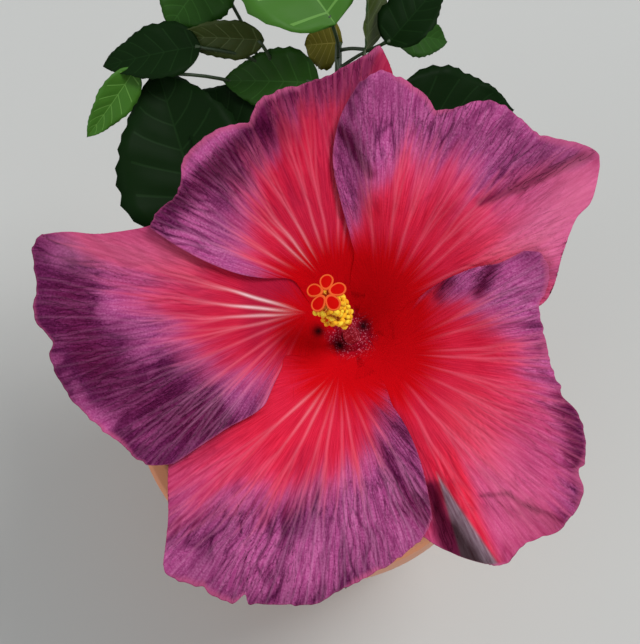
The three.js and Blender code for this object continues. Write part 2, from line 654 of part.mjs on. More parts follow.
// Pollen heads crowd on a thin sleeve round the upper part of the column
function makeAnthers() {
  const roll = dice(5);
  const [low, high] = ANTHER_SLEEVE;
  const inner = through(COLUMN_RADII, low) + GAP;
  const outer = inner + SLEEVE_WALL;
  const sleeve = [];
  for (let k = -1; k <= SLEEVE_STEPS; k += 1) {
    sleeve.push(columnCurve.getPointAt(mix(low, high, k / SLEEVE_STEPS)).toArray());
  }
  const bodies = [solid(limb(sleeve.slice(1), [[0, outer], [1, outer]], SLEEVE_SIDES, SLEEVE_STEPS))];
  for (let k = 0; k < ANTHER_COUNT; k += 1) {
    const at = mix(low + ANTHER_INSET[0], high - ANTHER_INSET[1], (k + 0.5) / ANTHER_COUNT);
    const heading = columnCurve.getTangentAt(at);
    const side = new THREE.Vector3(1, 0, 0).cross(heading).normalize();
    side.applyAxisAngle(heading, degrees(k * GOLDEN_TURN));
    const place = columnCurve.getPointAt(at).addScaledVector(side, mix(inner + ANTHER_SEAT, ANTHER_REACH, roll()));
    const head = new THREE.IcosahedronGeometry(ANTHER_SIZE, 0);
    head.translate(place.x, place.y, place.z);
    bodies.push(solid(head));
  }
  const core = solid(limb(sleeve, [[0, inner], [1, inner]], SLEEVE_SIDES, SLEEVE_STEPS + 1));
  const past = columnCurve.getPointAt(1).addScaledVector(columnCurve.getTangentAt(1), COLUMN_END.past);
  const end = [columnCurve.getPointAt(high - COLUMN_END.before), columnCurve.getPointAt(COLUMN_END.at), past];
  const tip = solid(limb(end.map((p) => p.toArray()), [[0, inner], [1, inner]], SLEEVE_SIDES, 2));
  return piece('anthers', geometryOf(whole([whole(bodies).subtract(core).subtract(tip)])), 'anther');
}

function makeStigma() {
  const heading = columnCurve.getTangentAt(1);
  const root = columnCurve.getPointAt(1).addScaledVector(heading, GAP);
  const side = new THREE.Vector3(1, 0, 0).cross(heading).normalize();
  const seat = root.clone().addScaledVector(heading, STIGMA_SEAT);
  const middle = root.clone().lerp(seat, 0.5);
  const bodies = [solid(limb([root, middle, seat].map((p) => p.toArray()), STIGMA_SEAT_RADII, 10, 2))];
  for (let k = 0; k < STIGMA_PADS; k += 1) {
    const away = side.clone().applyAxisAngle(heading, degrees(360 / STIGMA_PADS * k + STIGMA_TURN));
    const at = (rise, ring) => root.clone().addScaledVector(heading, rise).addScaledVector(away, ring);
    const pad = at(STIGMA_RISE, STIGMA_RING);
    const knee = at(STIGMA_RISE * STYLE_KNEE.rise, STIGMA_RING * STYLE_KNEE.ring);
    const foot = at(STYLE_FOOT.rise, STYLE_FOOT.ring);
    bodies.push(solid(limb([foot, knee, pad].map((p) => p.toArray()), STYLE_RADII, 5, 2)));
    const ball = new THREE.SphereGeometry(STIGMA_PAD, 8, 5);
    ball.scale(1, 1, STIGMA_FLATNESS);
    ball.applyQuaternion(new THREE.Quaternion().setFromUnitVectors(new THREE.Vector3(0, 0, 1), heading));
    ball.translate(pad.x, pad.y, pad.z);
    bodies.push(solid(ball));
  }
  return piece('stigma', geometryOf(whole(bodies)), 'stigma');
}

function makeFlower() {
  const flower = new THREE.Group();
  flower.position.set(...FLOWER_MIDDLE);
  flower.rotation.x = degrees(FLOWER_LEAN);
  for (const [name, shape] of Object.entries(PETALS)) flower.add(makePetal(name, shape));
  flower.add(makeCalyx());
  flower.add(piece('staminal_column', limb(COLUMN_LINE, COLUMN_RADII, COLUMN_SIDES, COLUMN_STEPS), 'column'));
  flower.add(makeAnthers(), makeStigma());
  return flower;
}

// Flower stalk: from the tip of its bough to the flat foot of the calyx
function makeStalk() {
  const heading = boughCurves.bough_flower.getTangentAt(1);
  const start = boughCurves.bough_flower.getPointAt(1);
  const lean = degrees(FLOWER_LEAN);
  const cupFoot = point(FOOT).add(new THREE.Vector3(0, 0, -CUP_DEPTH - GAP));
  const leaned = (p) => p.applyAxisAngle(new THREE.Vector3(1, 0, 0), lean).add(point(FLOWER_MIDDLE));
  const end = leaned(cupFoot.clone());
  const below = leaned(cupFoot.clone().add(new THREE.Vector3(0, 0, -FLOWER_STALK_NECK)));
  const middle = start.clone().lerp(below, 0.5).addScaledVector(heading, FLOWER_STALK_BOW);
  const stalk = solid(limb([start, middle, below, end].map((p) => p.toArray()), FLOWER_STALK_RADII, 8, 10));
  return piece('flower_stalk', geometryOf(whole([stalk.subtract(boughRoom('bough_flower'))])), 'greenwood');
}

const group = new THREE.Group();
group.add(makePot(), makeSoil(), makeTrunk(), ...makeBoughs(), makeStalk(), makeFlower());
for (const [name, shoot] of Object.entries(SHOOTS)) group.add(makeShoot(name, shoot));

export default group;
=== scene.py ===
import math
from functools import partial

import bpy
import numpy as np
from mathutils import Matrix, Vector


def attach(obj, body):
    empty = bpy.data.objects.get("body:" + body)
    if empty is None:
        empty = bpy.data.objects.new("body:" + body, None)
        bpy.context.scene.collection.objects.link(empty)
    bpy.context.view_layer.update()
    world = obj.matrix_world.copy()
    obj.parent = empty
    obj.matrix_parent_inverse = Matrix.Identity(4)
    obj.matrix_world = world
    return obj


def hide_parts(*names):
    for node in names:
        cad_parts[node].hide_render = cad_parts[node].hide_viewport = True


# A hibiscus in a pot, with one very large open flower.
# Sizes are in millimetres, as a grower would measure them, and MM turns them
# into Blender's metres.
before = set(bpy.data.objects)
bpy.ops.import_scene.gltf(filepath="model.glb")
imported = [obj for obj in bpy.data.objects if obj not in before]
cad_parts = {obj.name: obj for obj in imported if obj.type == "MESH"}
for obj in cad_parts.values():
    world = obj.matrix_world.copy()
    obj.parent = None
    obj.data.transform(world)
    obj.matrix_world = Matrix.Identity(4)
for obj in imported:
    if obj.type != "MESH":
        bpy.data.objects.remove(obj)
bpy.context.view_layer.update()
MM = 0.001


# Pot
# A plain tapered nursery pot with a band under its rim, moulded in one piece
# from terracotta-coloured plastic. It stands on a ring round its underside.
POT_PROFILE = [
    (59, 0), (60, 1), (79, 115), (83, 116), (84, 117), (85, 138.5), (83.5, 140),
    (78.5, 140), (77, 138.5), (76, 116), (56, 6),
]
POT_SIDES = 128
POT_FOOT_RING = 7
POT_FOOT_RISE = 2
POT_EDGE = 0.6
POT_EDGE_STEPS = 3
SHARP_ANGLE = math.radians(30)
SMOOTH_ANGLE = math.radians(40)
FACING_DOWN = -0.9


def linear(code):
    """An sRGB hex colour as linear red, green, blue and alpha."""
    parts = [int(code[i:i + 2], 16) / 255 for i in (1, 3, 5)]
    return [p / 12.92 if p <= 0.04045 else ((p + 0.055) / 1.055) ** 2.4 for p in parts] + [1]


def fill(node, inputs):
    """Sets inputs of a node: each is a value, a hex colour or a (node, output) link."""
    for key, value in inputs.items():
        if isinstance(value, tuple) and isinstance(value[0], bpy.types.Node):
            node.id_data.links.new(value[0].outputs[value[1]], node.inputs[key])
        else:
            node.inputs[key].default_value = linear(value) if isinstance(value, str) else value


def add_node(shader, kind, inputs=None, **settings):
    """One node beside the shader of its material."""
    node = shader.id_data.nodes.new("ShaderNode" + kind)
    for key, value in settings.items():
        setattr(node, key, value)
    fill(node, inputs or {})
    return node


def new_material(name, colour, roughness, shine=0.5):
    """A plain material, its shader, and what adds nodes beside that shader."""
    material = bpy.data.materials.new(name)
    material.use_nodes = True
    shader = material.node_tree.nodes["Principled BSDF"]
    fill(shader, {"Base Color": colour, "Roughness": roughness, "Specular IOR Level": shine})
    return material, shader, partial(add_node, shader)


def pick(piece):
    """Selects one object alone and makes it active."""
    bpy.ops.object.select_all(action="DESELECT")
    piece.select_set(True)
    bpy.context.view_layer.objects.active = piece


def hand_over(piece, slot, *nodes):
    """Ties a finished piece to the plant, in place of the solids it stands for."""
    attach(piece, "root")
    if nodes:
        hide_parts(*nodes)


bpy.ops.object.select_all(action="DESELECT")
bpy.ops.mesh.primitive_circle_add(vertices=POT_SIDES, radius=POT_PROFILE[0][0] * MM, fill_type="NGON")
pot = bpy.context.object
pot.name = "moulded_pot"
bpy.ops.object.mode_set(mode="EDIT")
bpy.ops.mesh.select_all(action="SELECT")
for (radius, height), (next_radius, next_height) in zip(POT_PROFILE, POT_PROFILE[1:]):
    bpy.ops.mesh.extrude_region_move(TRANSFORM_OT_translate={"value": (0, 0, (next_height - height) * MM)})
    grown = next_radius / radius
    bpy.ops.transform.resize(value=(grown, grown, 1))
bpy.ops.mesh.select_all(action="SELECT")
bpy.ops.mesh.normals_make_consistent(inside=False)
bpy.ops.mesh.select_all(action="DESELECT")
bpy.ops.object.mode_set(mode="OBJECT")
for face in pot.data.polygons:
    face.select = face.normal.z < FACING_DOWN and face.center.z < MM / 2
bpy.ops.object.mode_set(mode="EDIT")
bpy.ops.mesh.inset(thickness=POT_FOOT_RING * MM)
bpy.ops.mesh.extrude_region_move(TRANSFORM_OT_translate={"value": (0, 0, POT_FOOT_RISE * MM)})
bpy.ops.object.mode_set(mode="OBJECT")
rounding = pot.modifiers.new("rounding", "BEVEL")
rounding.width = POT_EDGE * MM
rounding.segments = POT_EDGE_STEPS
rounding.limit_method = "ANGLE"
rounding.angle_limit = SHARP_ANGLE
pick(pot)
bpy.ops.object.modifier_apply(modifier=rounding.name)
bpy.ops.object.shade_smooth_by_angle(angle=SMOOTH_ANGLE)

# Moulded polypropylene: an even, satin surface with faint grey scuffs.
pot_plastic, pot_shader, pot_node = new_material("moulded_polypropylene", "#df9068", 0.48)
pot_place = pot_node("TexCoord")
scuffs = pot_node("TexNoise", {"Vector": (pot_place, "Object"), "Scale": 55, "Detail": 6, "Roughness": 0.65})
scuffed = pot_node("MapRange", {"Value": (scuffs, "Fac"), "From Min": 0.5, "From Max": 0.8, "To Max": 0.35})
pot_tone = pot_node("Mix", {0: (scuffed, "Result"), 6: "#df9068", 7: "#c99a82"}, data_type="RGBA")
pot_skin = pot_node("Bump", {"Height": (scuffs, "Fac"), "Strength": 0.1, "Distance": 0.2 * MM})
fill(pot_shader, {"Base Color": (pot_tone, 2), "Normal": (pot_skin, "Normal")})
pot.data.materials.append(pot_plastic)
hand_over(pot, "pot", "pot")


# Soil
# Dark peat mix that fills the pot to a little under its rim. It is lumpy, with
# bits of bark and white perlite lying on it.
SOIL_TOP = 125
SOIL_RADIUS = 75.2
SOIL_EDGE_DROP = 3
SOIL_EDGE_START = 20
SOIL_SIDES = 180
SOIL_RINGS = 60
SOIL_LUMPS = 2.2
SOIL_SINK = 0.6
CLOD_SIZE = 9
LUMP_SIZE = 3.4
LUMP_SHARE = 0.45
SOIL_FOOT = [(2, 6.4), (30, 6.4), (55.5, 6.4), (SOIL_RADIUS, 116)]
# Each kind of loose bit: name, colour, number, smallest and largest size
CRUMB_KINDS = [("peat_crumbs", "#2c2019", 420, 1.0, 2.6), ("bark_chips", "#5c4330", 90, 1.6, 4.2),
               ("perlite", "#d8d4c8", 70, 0.8, 1.8)]
CRUMB_REACH = 73
CRUMB_SINK = 0.2
CRUMB_JAGS = (0.6, 1.3)
CRUMB_BREADTHS = (0.5, 1)
CRUMB_HEIGHTS = (0.35, 0.8)
TRUNK_SPOT = (3, 6)
TRUNK_ROOM = 16


def mix(a, b, share):
    return a + (b - a) * share


def smoothstep(x, low, high):
    s = np.clip((x - low) / (high - low), 0, 1)
    return s * s * (3 - 2 * s)


GRAIN = np.random.default_rng(31).random((256, 256))


def grain(u, v):
    """Soft random relief from 0 to 1, with one bump for each unit of u and v."""
    iu = np.floor(u).astype(int)
    iv = np.floor(v).astype(int)
    fu = u - iu
    fv = v - iv
    fu = fu * fu * (3 - 2 * fu)
    fv = fv * fv * (3 - 2 * fv)
    near = mix(GRAIN[iu % 256, iv % 256], GRAIN[(iu + 1) % 256, iv % 256], fu)
    far = mix(GRAIN[iu % 256, (iv + 1) % 256], GRAIN[(iu + 1) % 256, (iv + 1) % 256], fu)
    return mix(near, far, fv)


def add_mesh(name, corners, faces, slots=None, smooth=True):
    """A mesh object from corners in millimetres. slots gives each face's finish."""
    mesh = bpy.data.meshes.new(name)
    mesh.from_pydata((np.asarray(corners) * MM).tolist(), [], [list(map(int, face)) for face in faces])
    mesh.polygons.foreach_set("use_smooth", [smooth] * len(mesh.polygons))
    if slots is not None:
        mesh.polygons.foreach_set("material_index", np.asarray(slots, dtype=np.int32))
    mesh.update()
    piece = bpy.data.objects.new(name, mesh)
    bpy.context.collection.objects.link(piece)
    return piece


def turns(sides):
    """The angle of each corner of a closed ring."""
    return np.linspace(0, 2 * math.pi, sides, endpoint=False)


def level_ring(radius, height, turn):
    """Corners of a ring round the upright axis."""
    return np.stack([radius * np.cos(turn), radius * np.sin(turn), height + 0 * turn], 1)


def ring_faces(rings, sides):
    """Faces of closed rings of corners stacked on each other, and of both ends."""
    ring, side = np.meshgrid(np.arange(rings - 1), np.arange(sides), indexing="ij")
    first = (ring * sides + side).ravel()
    second = (ring * sides + (side + 1) % sides).ravel()
    walls = np.stack([first, second, second + sides, first + sides], 1).tolist()
    last = (rings - 1) * sides
    return walls + [list(range(sides))[::-1], list(range(last, last + sides))]


def ball(subdivisions):
    """Corners and faces of a ball of radius 1."""
    bpy.ops.mesh.primitive_ico_sphere_add(subdivisions=subdivisions, radius=1)
    made = bpy.context.object
    corners = np.array([corner.co for corner in made.data.vertices])
    faces = [list(face.vertices) for face in made.data.polygons]
    bpy.data.objects.remove(made)
    return corners, faces


class Parts:
    """Gathers corners and faces of many small parts for one joined mesh."""

    def __init__(self):
        self.corners = []
        self.faces = []
        self.slots = []
        self.count = 0

    def add(self, corners, faces, slots=0):
        self.corners.append(corners)
        self.faces += [[i + self.count for i in face] for face in faces]
        self.slots += list(slots) if np.ndim(slots) else [slots] * len(faces)
        self.count += len(corners)

    def mesh(self, name, place=np.asarray, smooth=True):
        return add_mesh(name, place(np.concatenate(self.corners)), self.faces, self.slots, smooth)


def paint(piece, rows):
    """Gives a piece a plain material for each row of name, colour, roughness and shine."""
    for row in rows:
        piece.data.materials.append(new_material(*row)[0])


def soil_height(x, y):
    reach = np.hypot(x, y)
    dome = SOIL_TOP - SOIL_EDGE_DROP * smoothstep(reach, SOIL_EDGE_START, SOIL_RADIUS)
    clods = grain(x / CLOD_SIZE + 40, y / CLOD_SIZE + 40) - 0.5
    lumps = grain(x / LUMP_SIZE + 90, y / LUMP_SIZE + 90) - 0.5
    return dome + SOIL_LUMPS * (clods + LUMP_SHARE * lumps) - SOIL_SINK


soil_turn = turns(SOIL_SIDES)
soil_rings = [level_ring(radius, height, soil_turn) for radius, height in SOIL_FOOT]
for radius in np.linspace(SOIL_RADIUS, 1, SOIL_RINGS):
    height = soil_height(radius * np.cos(soil_turn), radius * np.sin(soil_turn))
    soil_rings.append(level_ring(radius, height, soil_turn))
soil = add_mesh("peat_mix", np.concatenate(soil_rings), ring_faces(len(soil_rings), SOIL_SIDES))

# Peat mix: dark, dry on top and fully matt, speckled from fibre to fibre.
peat, peat_shader, peat_node = new_material("peat", "#35271d", 0.95)
peat_place = peat_node("TexCoord")
fibres = peat_node("TexNoise", {"Vector": (peat_place, "Object"), "Scale": 700, "Detail": 8,
                                "Roughness": 0.7})
peat_tone = peat_node("Mix", {0: (fibres, "Fac"), 6: "#1d150f", 7: "#57432f"}, data_type="RGBA")
peat_bump = peat_node("Bump", {"Height": (fibres, "Fac"), "Strength": 0.8, "Distance": MM})
fill(peat_shader, {"Base Color": (peat_tone, 2), "Normal": (peat_bump, "Normal")})
soil.data.materials.append(peat)
hand_over(soil, "soil", "soil")

# Loose bits lie on the soil: one lump is copied, squashed and turned for each.
# Crumbs of peat, chips of bark and perlite are all dry and fully matt.
lump_corners, lump_faces = ball(1)
scatter = np.random.default_rng(8)
bits = Parts()
for slot, (name, colour, count, smallest, largest) in enumerate(CRUMB_KINDS):
    for _ in range(count):
        reach = CRUMB_REACH * math.sqrt(scatter.random())
        turn = scatter.uniform(0, 2 * math.pi)
        x = reach * math.cos(turn)
        y = reach * math.sin(turn)
        if math.hypot(x - TRUNK_SPOT[0], y - TRUNK_SPOT[1]) < TRUNK_ROOM:
            continue
        size = scatter.uniform(smallest, largest) / 2
        shape = lump_corners * scatter.uniform(*CRUMB_JAGS, (len(lump_corners), 1)) * size
        shape = shape * [1, scatter.uniform(*CRUMB_BREADTHS), scatter.uniform(*CRUMB_HEIGHTS)]
        spin = scatter.uniform(0, 2 * math.pi)
        spun = shape @ np.array([[math.cos(spin), math.sin(spin), 0], [-math.sin(spin), math.cos(spin), 0],
                                 [0, 0, 1]])
        bits.add(spun + [x, y, soil_height(x, y) + size * CRUMB_SINK], lump_faces, slot)
crumbs = bits.mesh("soil_crumbs", smooth=False)
paint(crumbs, [(name, colour, 0.95) for name, colour, *_ in CRUMB_KINDS])
hand_over(crumbs, "soil")


# Trunk and boughs
# A short woody trunk with a flared foot that stands in the soil, and the woody
# boughs that leave it. Grey-brown bark with fine cracks and raised pores.
TRUNK_LINE = [[3, 6, 117], [4, 9, 140], [7, 10, 156], [6, 11, 172]]
TRUNK_RADII = [[0, 14], [0.14, 9.6], [0.24, 7], [0.4, 6], [0.7, 5.4], [1, 5]]
BOUGHS = {
    "bough_flower": {"line": [[6, 11, 171], [8, 8, 184], [12, 2, 198]], "radii": [[0, 3.6], [1, 2.6]]},
    "bough_back": {"line": [[6, 10, 164], [6, 32, 174], [7, 54, 198]], "radii": [[0, 4], [1, 2.7]]},
    "bough_back_left": {"line": [[5, 10, 158], [-10, 28, 168], [-22, 44, 192]], "radii": [[0, 4], [1, 2.7]]},
    "bough_back_right": {"line": [[6, 10, 152], [24, 22, 160], [38, 38, 178]], "radii": [[0, 3.6], [1, 2.4]]},
    "bough_right": {"line": [[6, 10, 160], [26, 3, 164], [42, -2, 178]], "radii": [[0, 3.6], [1, 2.4]]},
    "bough_front": {"line": [[6, 10, 150], [5, -10, 156], [1, -27, 172]], "radii": [[0, 3.6], [1, 2.4]]},
    "bough_left": {"line": [[6, 10, 166], [-14, 6, 172], [-34, 1, 186]], "radii": [[0, 3.6], [1, 2.4]]},
}
BARK_RELIEF = 0.35
BOUGH_RELIEF = 0.21
CRACK_SPACING = 1.1
CRACK_LENGTH = 6
KNOB_WIDTH = 4
KNOB_LENGTH = 3.5
BEND_STOPS = 201
BEND_STEP = 1e-4
TRUNK_SIDES = 56
TRUNK_STEPS = 90
BOUGH_SIDES = 26
BOUGH_STEPS = 60


def through(pairs, x):
    """A smooth curve through pairs (x, y), level beyond both ends."""
    xs, ys = np.array(pairs, dtype=float).T
    slopes = np.empty(len(xs))
    slopes[1:-1] = (ys[2:] - ys[:-2]) / (xs[2:] - xs[:-2])
    slopes[0] = (ys[1] - ys[0]) / (xs[1] - xs[0])
    slopes[-1] = (ys[-1] - ys[-2]) / (xs[-1] - xs[-2])
    x = np.clip(x, xs[0], xs[-1])
    i = np.clip(np.searchsorted(xs, x) - 1, 0, len(xs) - 2)
    run = xs[i + 1] - xs[i]
    s = (x - xs[i]) / run
    rise = s * s * (3 - 2 * s)
    return ys[i] + (ys[i + 1] - ys[i]) * rise + run * s * (1 - s) * ((1 - s) * slopes[i] - s * slopes[i + 1])


class Bend:
    """A smooth line through points, as a bent cane runs."""

    def __init__(self, line):
        line = np.array(line, dtype=float)
        self.line = np.concatenate([[2 * line[0] - line[1]], line, [2 * line[-1] - line[-2]]])
        self.shares = np.linspace(0, 1, BEND_STOPS)
        steps = np.linalg.norm(np.diff(self.at(self.shares), axis=0), axis=1)
        self.lengths = np.concatenate([[0], np.cumsum(steps)])

    def at(self, t):
        spans = len(self.line) - 3
        place = np.atleast_1d(np.clip(t, 0, 1)) * spans
        i = np.minimum(place.astype(int), spans - 1)
        s = (place - i)[:, None]
        before, here, there, after = (self.line[i + k] for k in range(4))
        gaps = [np.sqrt(np.linalg.norm(b - a, axis=1))[:, None] for a, b in
                ((before, here), (here, there), (there, after))]
        leave = (here - before) / gaps[0] - (there - before) / (gaps[0] + gaps[1]) + (there - here) / gaps[1]
        arrive = (there - here) / gaps[1] - (after - here) / (gaps[1] + gaps[2]) + (after - there) / gaps[2]
        leave = leave * gaps[1]
        arrive = arrive * gaps[1]
        rise = here + leave * s + (3 * (there - here) - 2 * leave - arrive) * s ** 2
        return rise + (2 * (here - there) + leave + arrive) * s ** 3

    def time(self, share):
        return np.interp(np.clip(share, 0, 1) * self.lengths[-1], self.lengths, self.shares)

    def along(self, share):
        return self.at(self.time(share))

    def heading(self, share):
        t = self.time(np.atleast_1d(share))
        ahead = self.at(t + BEND_STEP) - self.at(t - BEND_STEP)
        return ahead / np.linalg.norm(ahead, axis=1)[:, None]


def tube(line, radii, sides, steps, relief=0):
    """Corners and faces of a tapering limb with closed ends."""
    bend = Bend(line)
    shares = np.linspace(0, 1, steps + 1)
    centres = bend.along(shares)
    headings = bend.heading(shares)
    normal = np.cross(headings[0], [0.31, 0.2, 0.93] if abs(headings[0][2]) < 0.8 else [1, 0.1, 0])
    normals = []
    for heading in headings:
        normal = normal - heading * np.dot(normal, heading)
        normal = normal / np.linalg.norm(normal)
        normals.append(normal)
    normals = np.array(normals)
    others = np.cross(headings, normals)
    turn = turns(sides)
    radius = through(radii, shares)[:, None] + 0 * turn
    if relief:
        folded = np.abs(turn - math.pi)[None, :] * radius
        length = (shares * bend.lengths[-1])[:, None]
        crack = np.abs(2 * grain(folded / CRACK_SPACING + 5, length / CRACK_LENGTH + 9) - 1)
        knobs = grain(folded / KNOB_WIDTH + 70, length / KNOB_LENGTH)
        radius = radius + relief * (crack - 0.5) + relief * (knobs - 0.5)
    corners = centres[:, None] + radius[..., None] * (np.cos(turn)[:, None] * normals[:, None]
                                                      + np.sin(turn)[:, None] * others[:, None])
    return corners.reshape(-1, 3), ring_faces(steps + 1, sides)


wood = Parts()
wood.add(*tube(TRUNK_LINE, TRUNK_RADII, TRUNK_SIDES, TRUNK_STEPS, BARK_RELIEF))
for name, bough in BOUGHS.items():
    if name != "bough_flower":
        wood.add(*tube(bough["line"], bough["radii"], BOUGH_SIDES, BOUGH_STEPS, BOUGH_RELIEF))
trunk = wood.mesh("woody_stems")

# Young bark: grey-brown and dull, with pale pores and dark cracks a millimetre
# or two apart.
bark, bark_shader, bark_node = new_material("young_bark", "#6a5c46", 0.85)
bark_place = bark_node("TexCoord")
bark_map = bark_node("Mapping", {"Vector": (bark_place, "Object"), "Scale": (1, 1, 0.35)})
cracks = bark_node("TexNoise", {"Vector": (bark_map, "Vector"), "Scale": 900, "Detail": 6, "Roughness": 0.6})
pores = bark_node("TexVoronoi", {"Vector": (bark_place, "Object"), "Scale": 380})
pore = bark_node("MapRange", {"Value": (pores, "Distance"), "From Min": 0.22, "From Max": 0.1})
bark_tone = bark_node("Mix", {0: (cracks, "Fac"), 6: "#3d3426", 7: "#8b7c62"}, data_type="RGBA")
bark_pored = bark_node("Mix", {0: (pore, "Result"), 6: (bark_tone, 2), 7: "#a99a7c"}, data_type="RGBA")
bark_bump = bark_node("Bump", {"Height": (cracks, "Fac"), "Strength": 0.6, "Distance": 0.5 * MM})
fill(bark_shader, {"Base Color": (bark_pored, 2), "Normal": (bark_bump, "Normal")})
trunk.data.materials.append(bark)
hand_over(trunk, "bark", "trunk", "bough_back", "bough_back_left", "bough_back_right", "bough_right",
          "bough_front", "bough_left")


# Leafy shoots
# Each grows on from the tip of its bough: a green stem, thin leaf stalks and
# broad oval leaves with scalloped margins, folded a little on their midribs.
FLOWER_MIDDLE = (0, -26.5, 308)
FLOWER_LEAN = math.radians(20)
FAN = (11, -4.6)
NARROWING = 560
FUNNEL = [[6, -44], [12, -37], [20, -28], [35, -14], [48, -7], [60, -3], [85, 0], [100, -2], [114, -6]]

# Each petal's margin, as angles round the flower's middle with distances from it
PETAL_EDGES = {
    "petal_upper_right": [[33, 104], [36, 108], [42, 103], [48, 97], [55, 98], [60, 96], [68, 86.5], [74, 90],
                          [83, 94], [88, 90]],
    "petal_upper": [[82.5, 97], [84.3, 103], [86.3, 100], [92, 94.5], [98, 91], [110, 90], [116, 85.5],
                    [124, 87], [133, 86], [140, 79.5], [147, 81], [152, 81]],
    "petal_left": [[162, 113], [166, 115], [172, 112.5], [177, 112], [180, 107.5], [185, 107], [191, 103],
                   [197, 98], [204, 91], [212, 86], [216, 78]],
    "petal_lower": [[231, 105], [233, 107], [239, 105], [246, 104], [253, 100], [262, 96], [269, 89],
                    [280, 82], [289, 76], [293.5, 71]],
    "petal_lower_right": [[302, 96], [304, 98], [309, 96], [317, 100.5], [324, 100], [331, 95], [338, 89],
                          [344, 80], [349, 73.5], [356, 70], [362, 68], [369, 68], [376, 72.5], [383, 73],
                          [386, 68]],
}
OUTLINE = []
for edge in PETAL_EDGES.values():
    OUTLINE += [place for place in edge if not OUTLINE or place[0] > OUTLINE[-1][0]]

BLADE_OUTLINE = [[0, 0], [0.1, 0.62], [0.36, 1], [0.7, 0.68], [1, 0]]
SHOOT_RADII = [[0, 2.2], [1, 1.1]]
SHOOT_RELIEF = 0.12
SHOOT_BOW = 0.12
SHOOT_END = 0.97
SHOOT_SIDES = 12
SHOOT_STEPS = 30
LEAF_STALK_RADII = [[0, 1.1], [0.12, 0.85], [0.9, 0.75], [1, 0.9]]
LEAF_STALK_SIDES = 6
LEAF_STALK_STEPS = 10
LEAF_STALK_LENGTHS = [14, 26]
LEAF_STALK_OUT = 0.85
LEAF_STALK_UP = 0.5
LEAF_STALK_BOW = 3
BLADE_JOIN = 0.06
FIRST_LEAF = 0.06
LEAF_RUN = 0.9
GOLDEN_TURN = 137.5
TURN_SPREAD = 50
LEAF_RISES = [-12, 40]
RISE_SPREAD = 40
LEAF_WIDTHS = [0.62, 0.74]
LEAF_FACE = [0, -0.34, 0.94]
FACE_LEAN = 0.2

# A placed leaf is where it leaves the stem, its base and tip, its width, its
# turn and its tone. The other leaves grow by rule inside the shoot's sector.
SHOOTS = {
    "shoot_back": {
        "bough": "bough_back", "end": [7, 99, 284], "sector": [62, 101], "seed": 11, "leaves": 10,
        "sizes": [46, 62],
        "placed": [
            [0.95, [6, 95, 306], [-38, 147, 326], 50, 10, "young"],
            [0.8, [9, 108, 270], [-7, 111, 263], 22, 0, "old"],
            [0.8, [30, 108, 278], [53, 110, 268], 18, 0, "mid"],
            [1, [18, 93, 287], [21, 110, 318], 26, 75, "olive"],
            [0.9, [26, 92, 296], [47, 116, 306], 22, -20, "dark"],
        ],
    },
    "shoot_back_left": {
        "bough": "bough_back_left", "end": [-17, 97, 272], "sector": [101, 152], "seed": 23, "leaves": 9,
        "sizes": [48, 64],
        "placed": [
            [1, [-47, 98, 285], [-86, 91, 284], 23, 12, "dark"],
            [0.95, [-22, 101, 284], [-58, 100, 286], 16, -30, "olive"],
            [0.9, [-73, 90, 281], [-92, 65, 269], 15, -25, "young"],
            [0.45, [-44, 31, 250], [-65, 91, 280], 56, 0, "dark"],
            [0.7, [-24, 62, 262], [-52, 88, 268], 36, 10, "dark"],
            [0.95, [0, 88, 273], [-39, 89, 274], 26, 0, "mid"],
            [0.9, [-42, 130, 292], [-60, 106, 286], 32, 0, "mid"],
        ],
    },
    "shoot_back_right": {
        "bough": "bough_back_right", "end": [36, 82, 246], "sector": [14, 62], "seed": 37, "leaves": 11,
        "sizes": [46, 62], "placed": [[0.9, [30, 84, 256], [82, 90, 248], 36, 0, "dark"]],
    },
    "shoot_right": {
        "bough": "bough_right", "end": [50, -8, 240], "sector": [-46, 14], "seed": 41, "leaves": 12,
        "sizes": [46, 62], "placed": [],
    },
    "shoot_front": {
        "bough": "bough_front", "end": [-2, -42, 226], "sector": [-128, -46], "seed": 53, "leaves": 11,
        "sizes": [44, 58], "placed": [],
    },
    "shoot_left": {
        "bough": "bough_left", "end": [-48, -6, 246], "sector": [152, 232], "seed": 67, "leaves": 12,
        "sizes": [46, 64], "placed": [],
    },
}
SECTOR_MIDDLE = [5, 10]
SECTOR_START = 10
SECTOR_SLACK = 20
SECTOR_MARGIN = 1.5
SHRUB_REACH = 122
FLOWER_STALK_ROOM = [[12, 2, 198], [14, -6, 246]]
LIMB_STOPS = 15
LIMB_CLEARANCE = 5.5
PETAL_CLEARANCE = 9
PETAL_COVER = 3
SHOWN_EDGE = 118
LEAF_SPACING = 16
SHRINK = 0.985
LOWEST_LEAF = 128
TRIES = 60
SIDE_VEINS = 6
FIRST_VEIN = 0.55
VEIN_ROOM = 0.9
VEIN_STRIP = 0.012
LEAF_COLUMNS = 12
FIRST_COLUMN = 0.2
MIDRIB = 0.018
LEAF_OUTLINE = [[0, 0], [0.03, 0.36], [0.1, 0.68], [0.2, 0.88], [0.34, 1], [0.5, 0.94], [0.66, 0.76],
                [0.8, 0.53], [0.92, 0.26], [1, 0]]
LEAF_THICKNESS = 0.5
RIM_THICKNESS = 0.02
LEAF_QUILT = 0.01
LEAF_TEETH = 0.06
TOOTH_ROWS = [(1, 1), (2, 0.45), (3, 1)]
TEETH_START = (0.05, 0.25)
LEAF_FOLD = 0.22
LEAF_DROOP = 0.1
LEAF_SWEEP = 0.9
LEAF_SWAY = 0.02
LEAF_WAVE = 0.035
LEAF_WAVES = 17
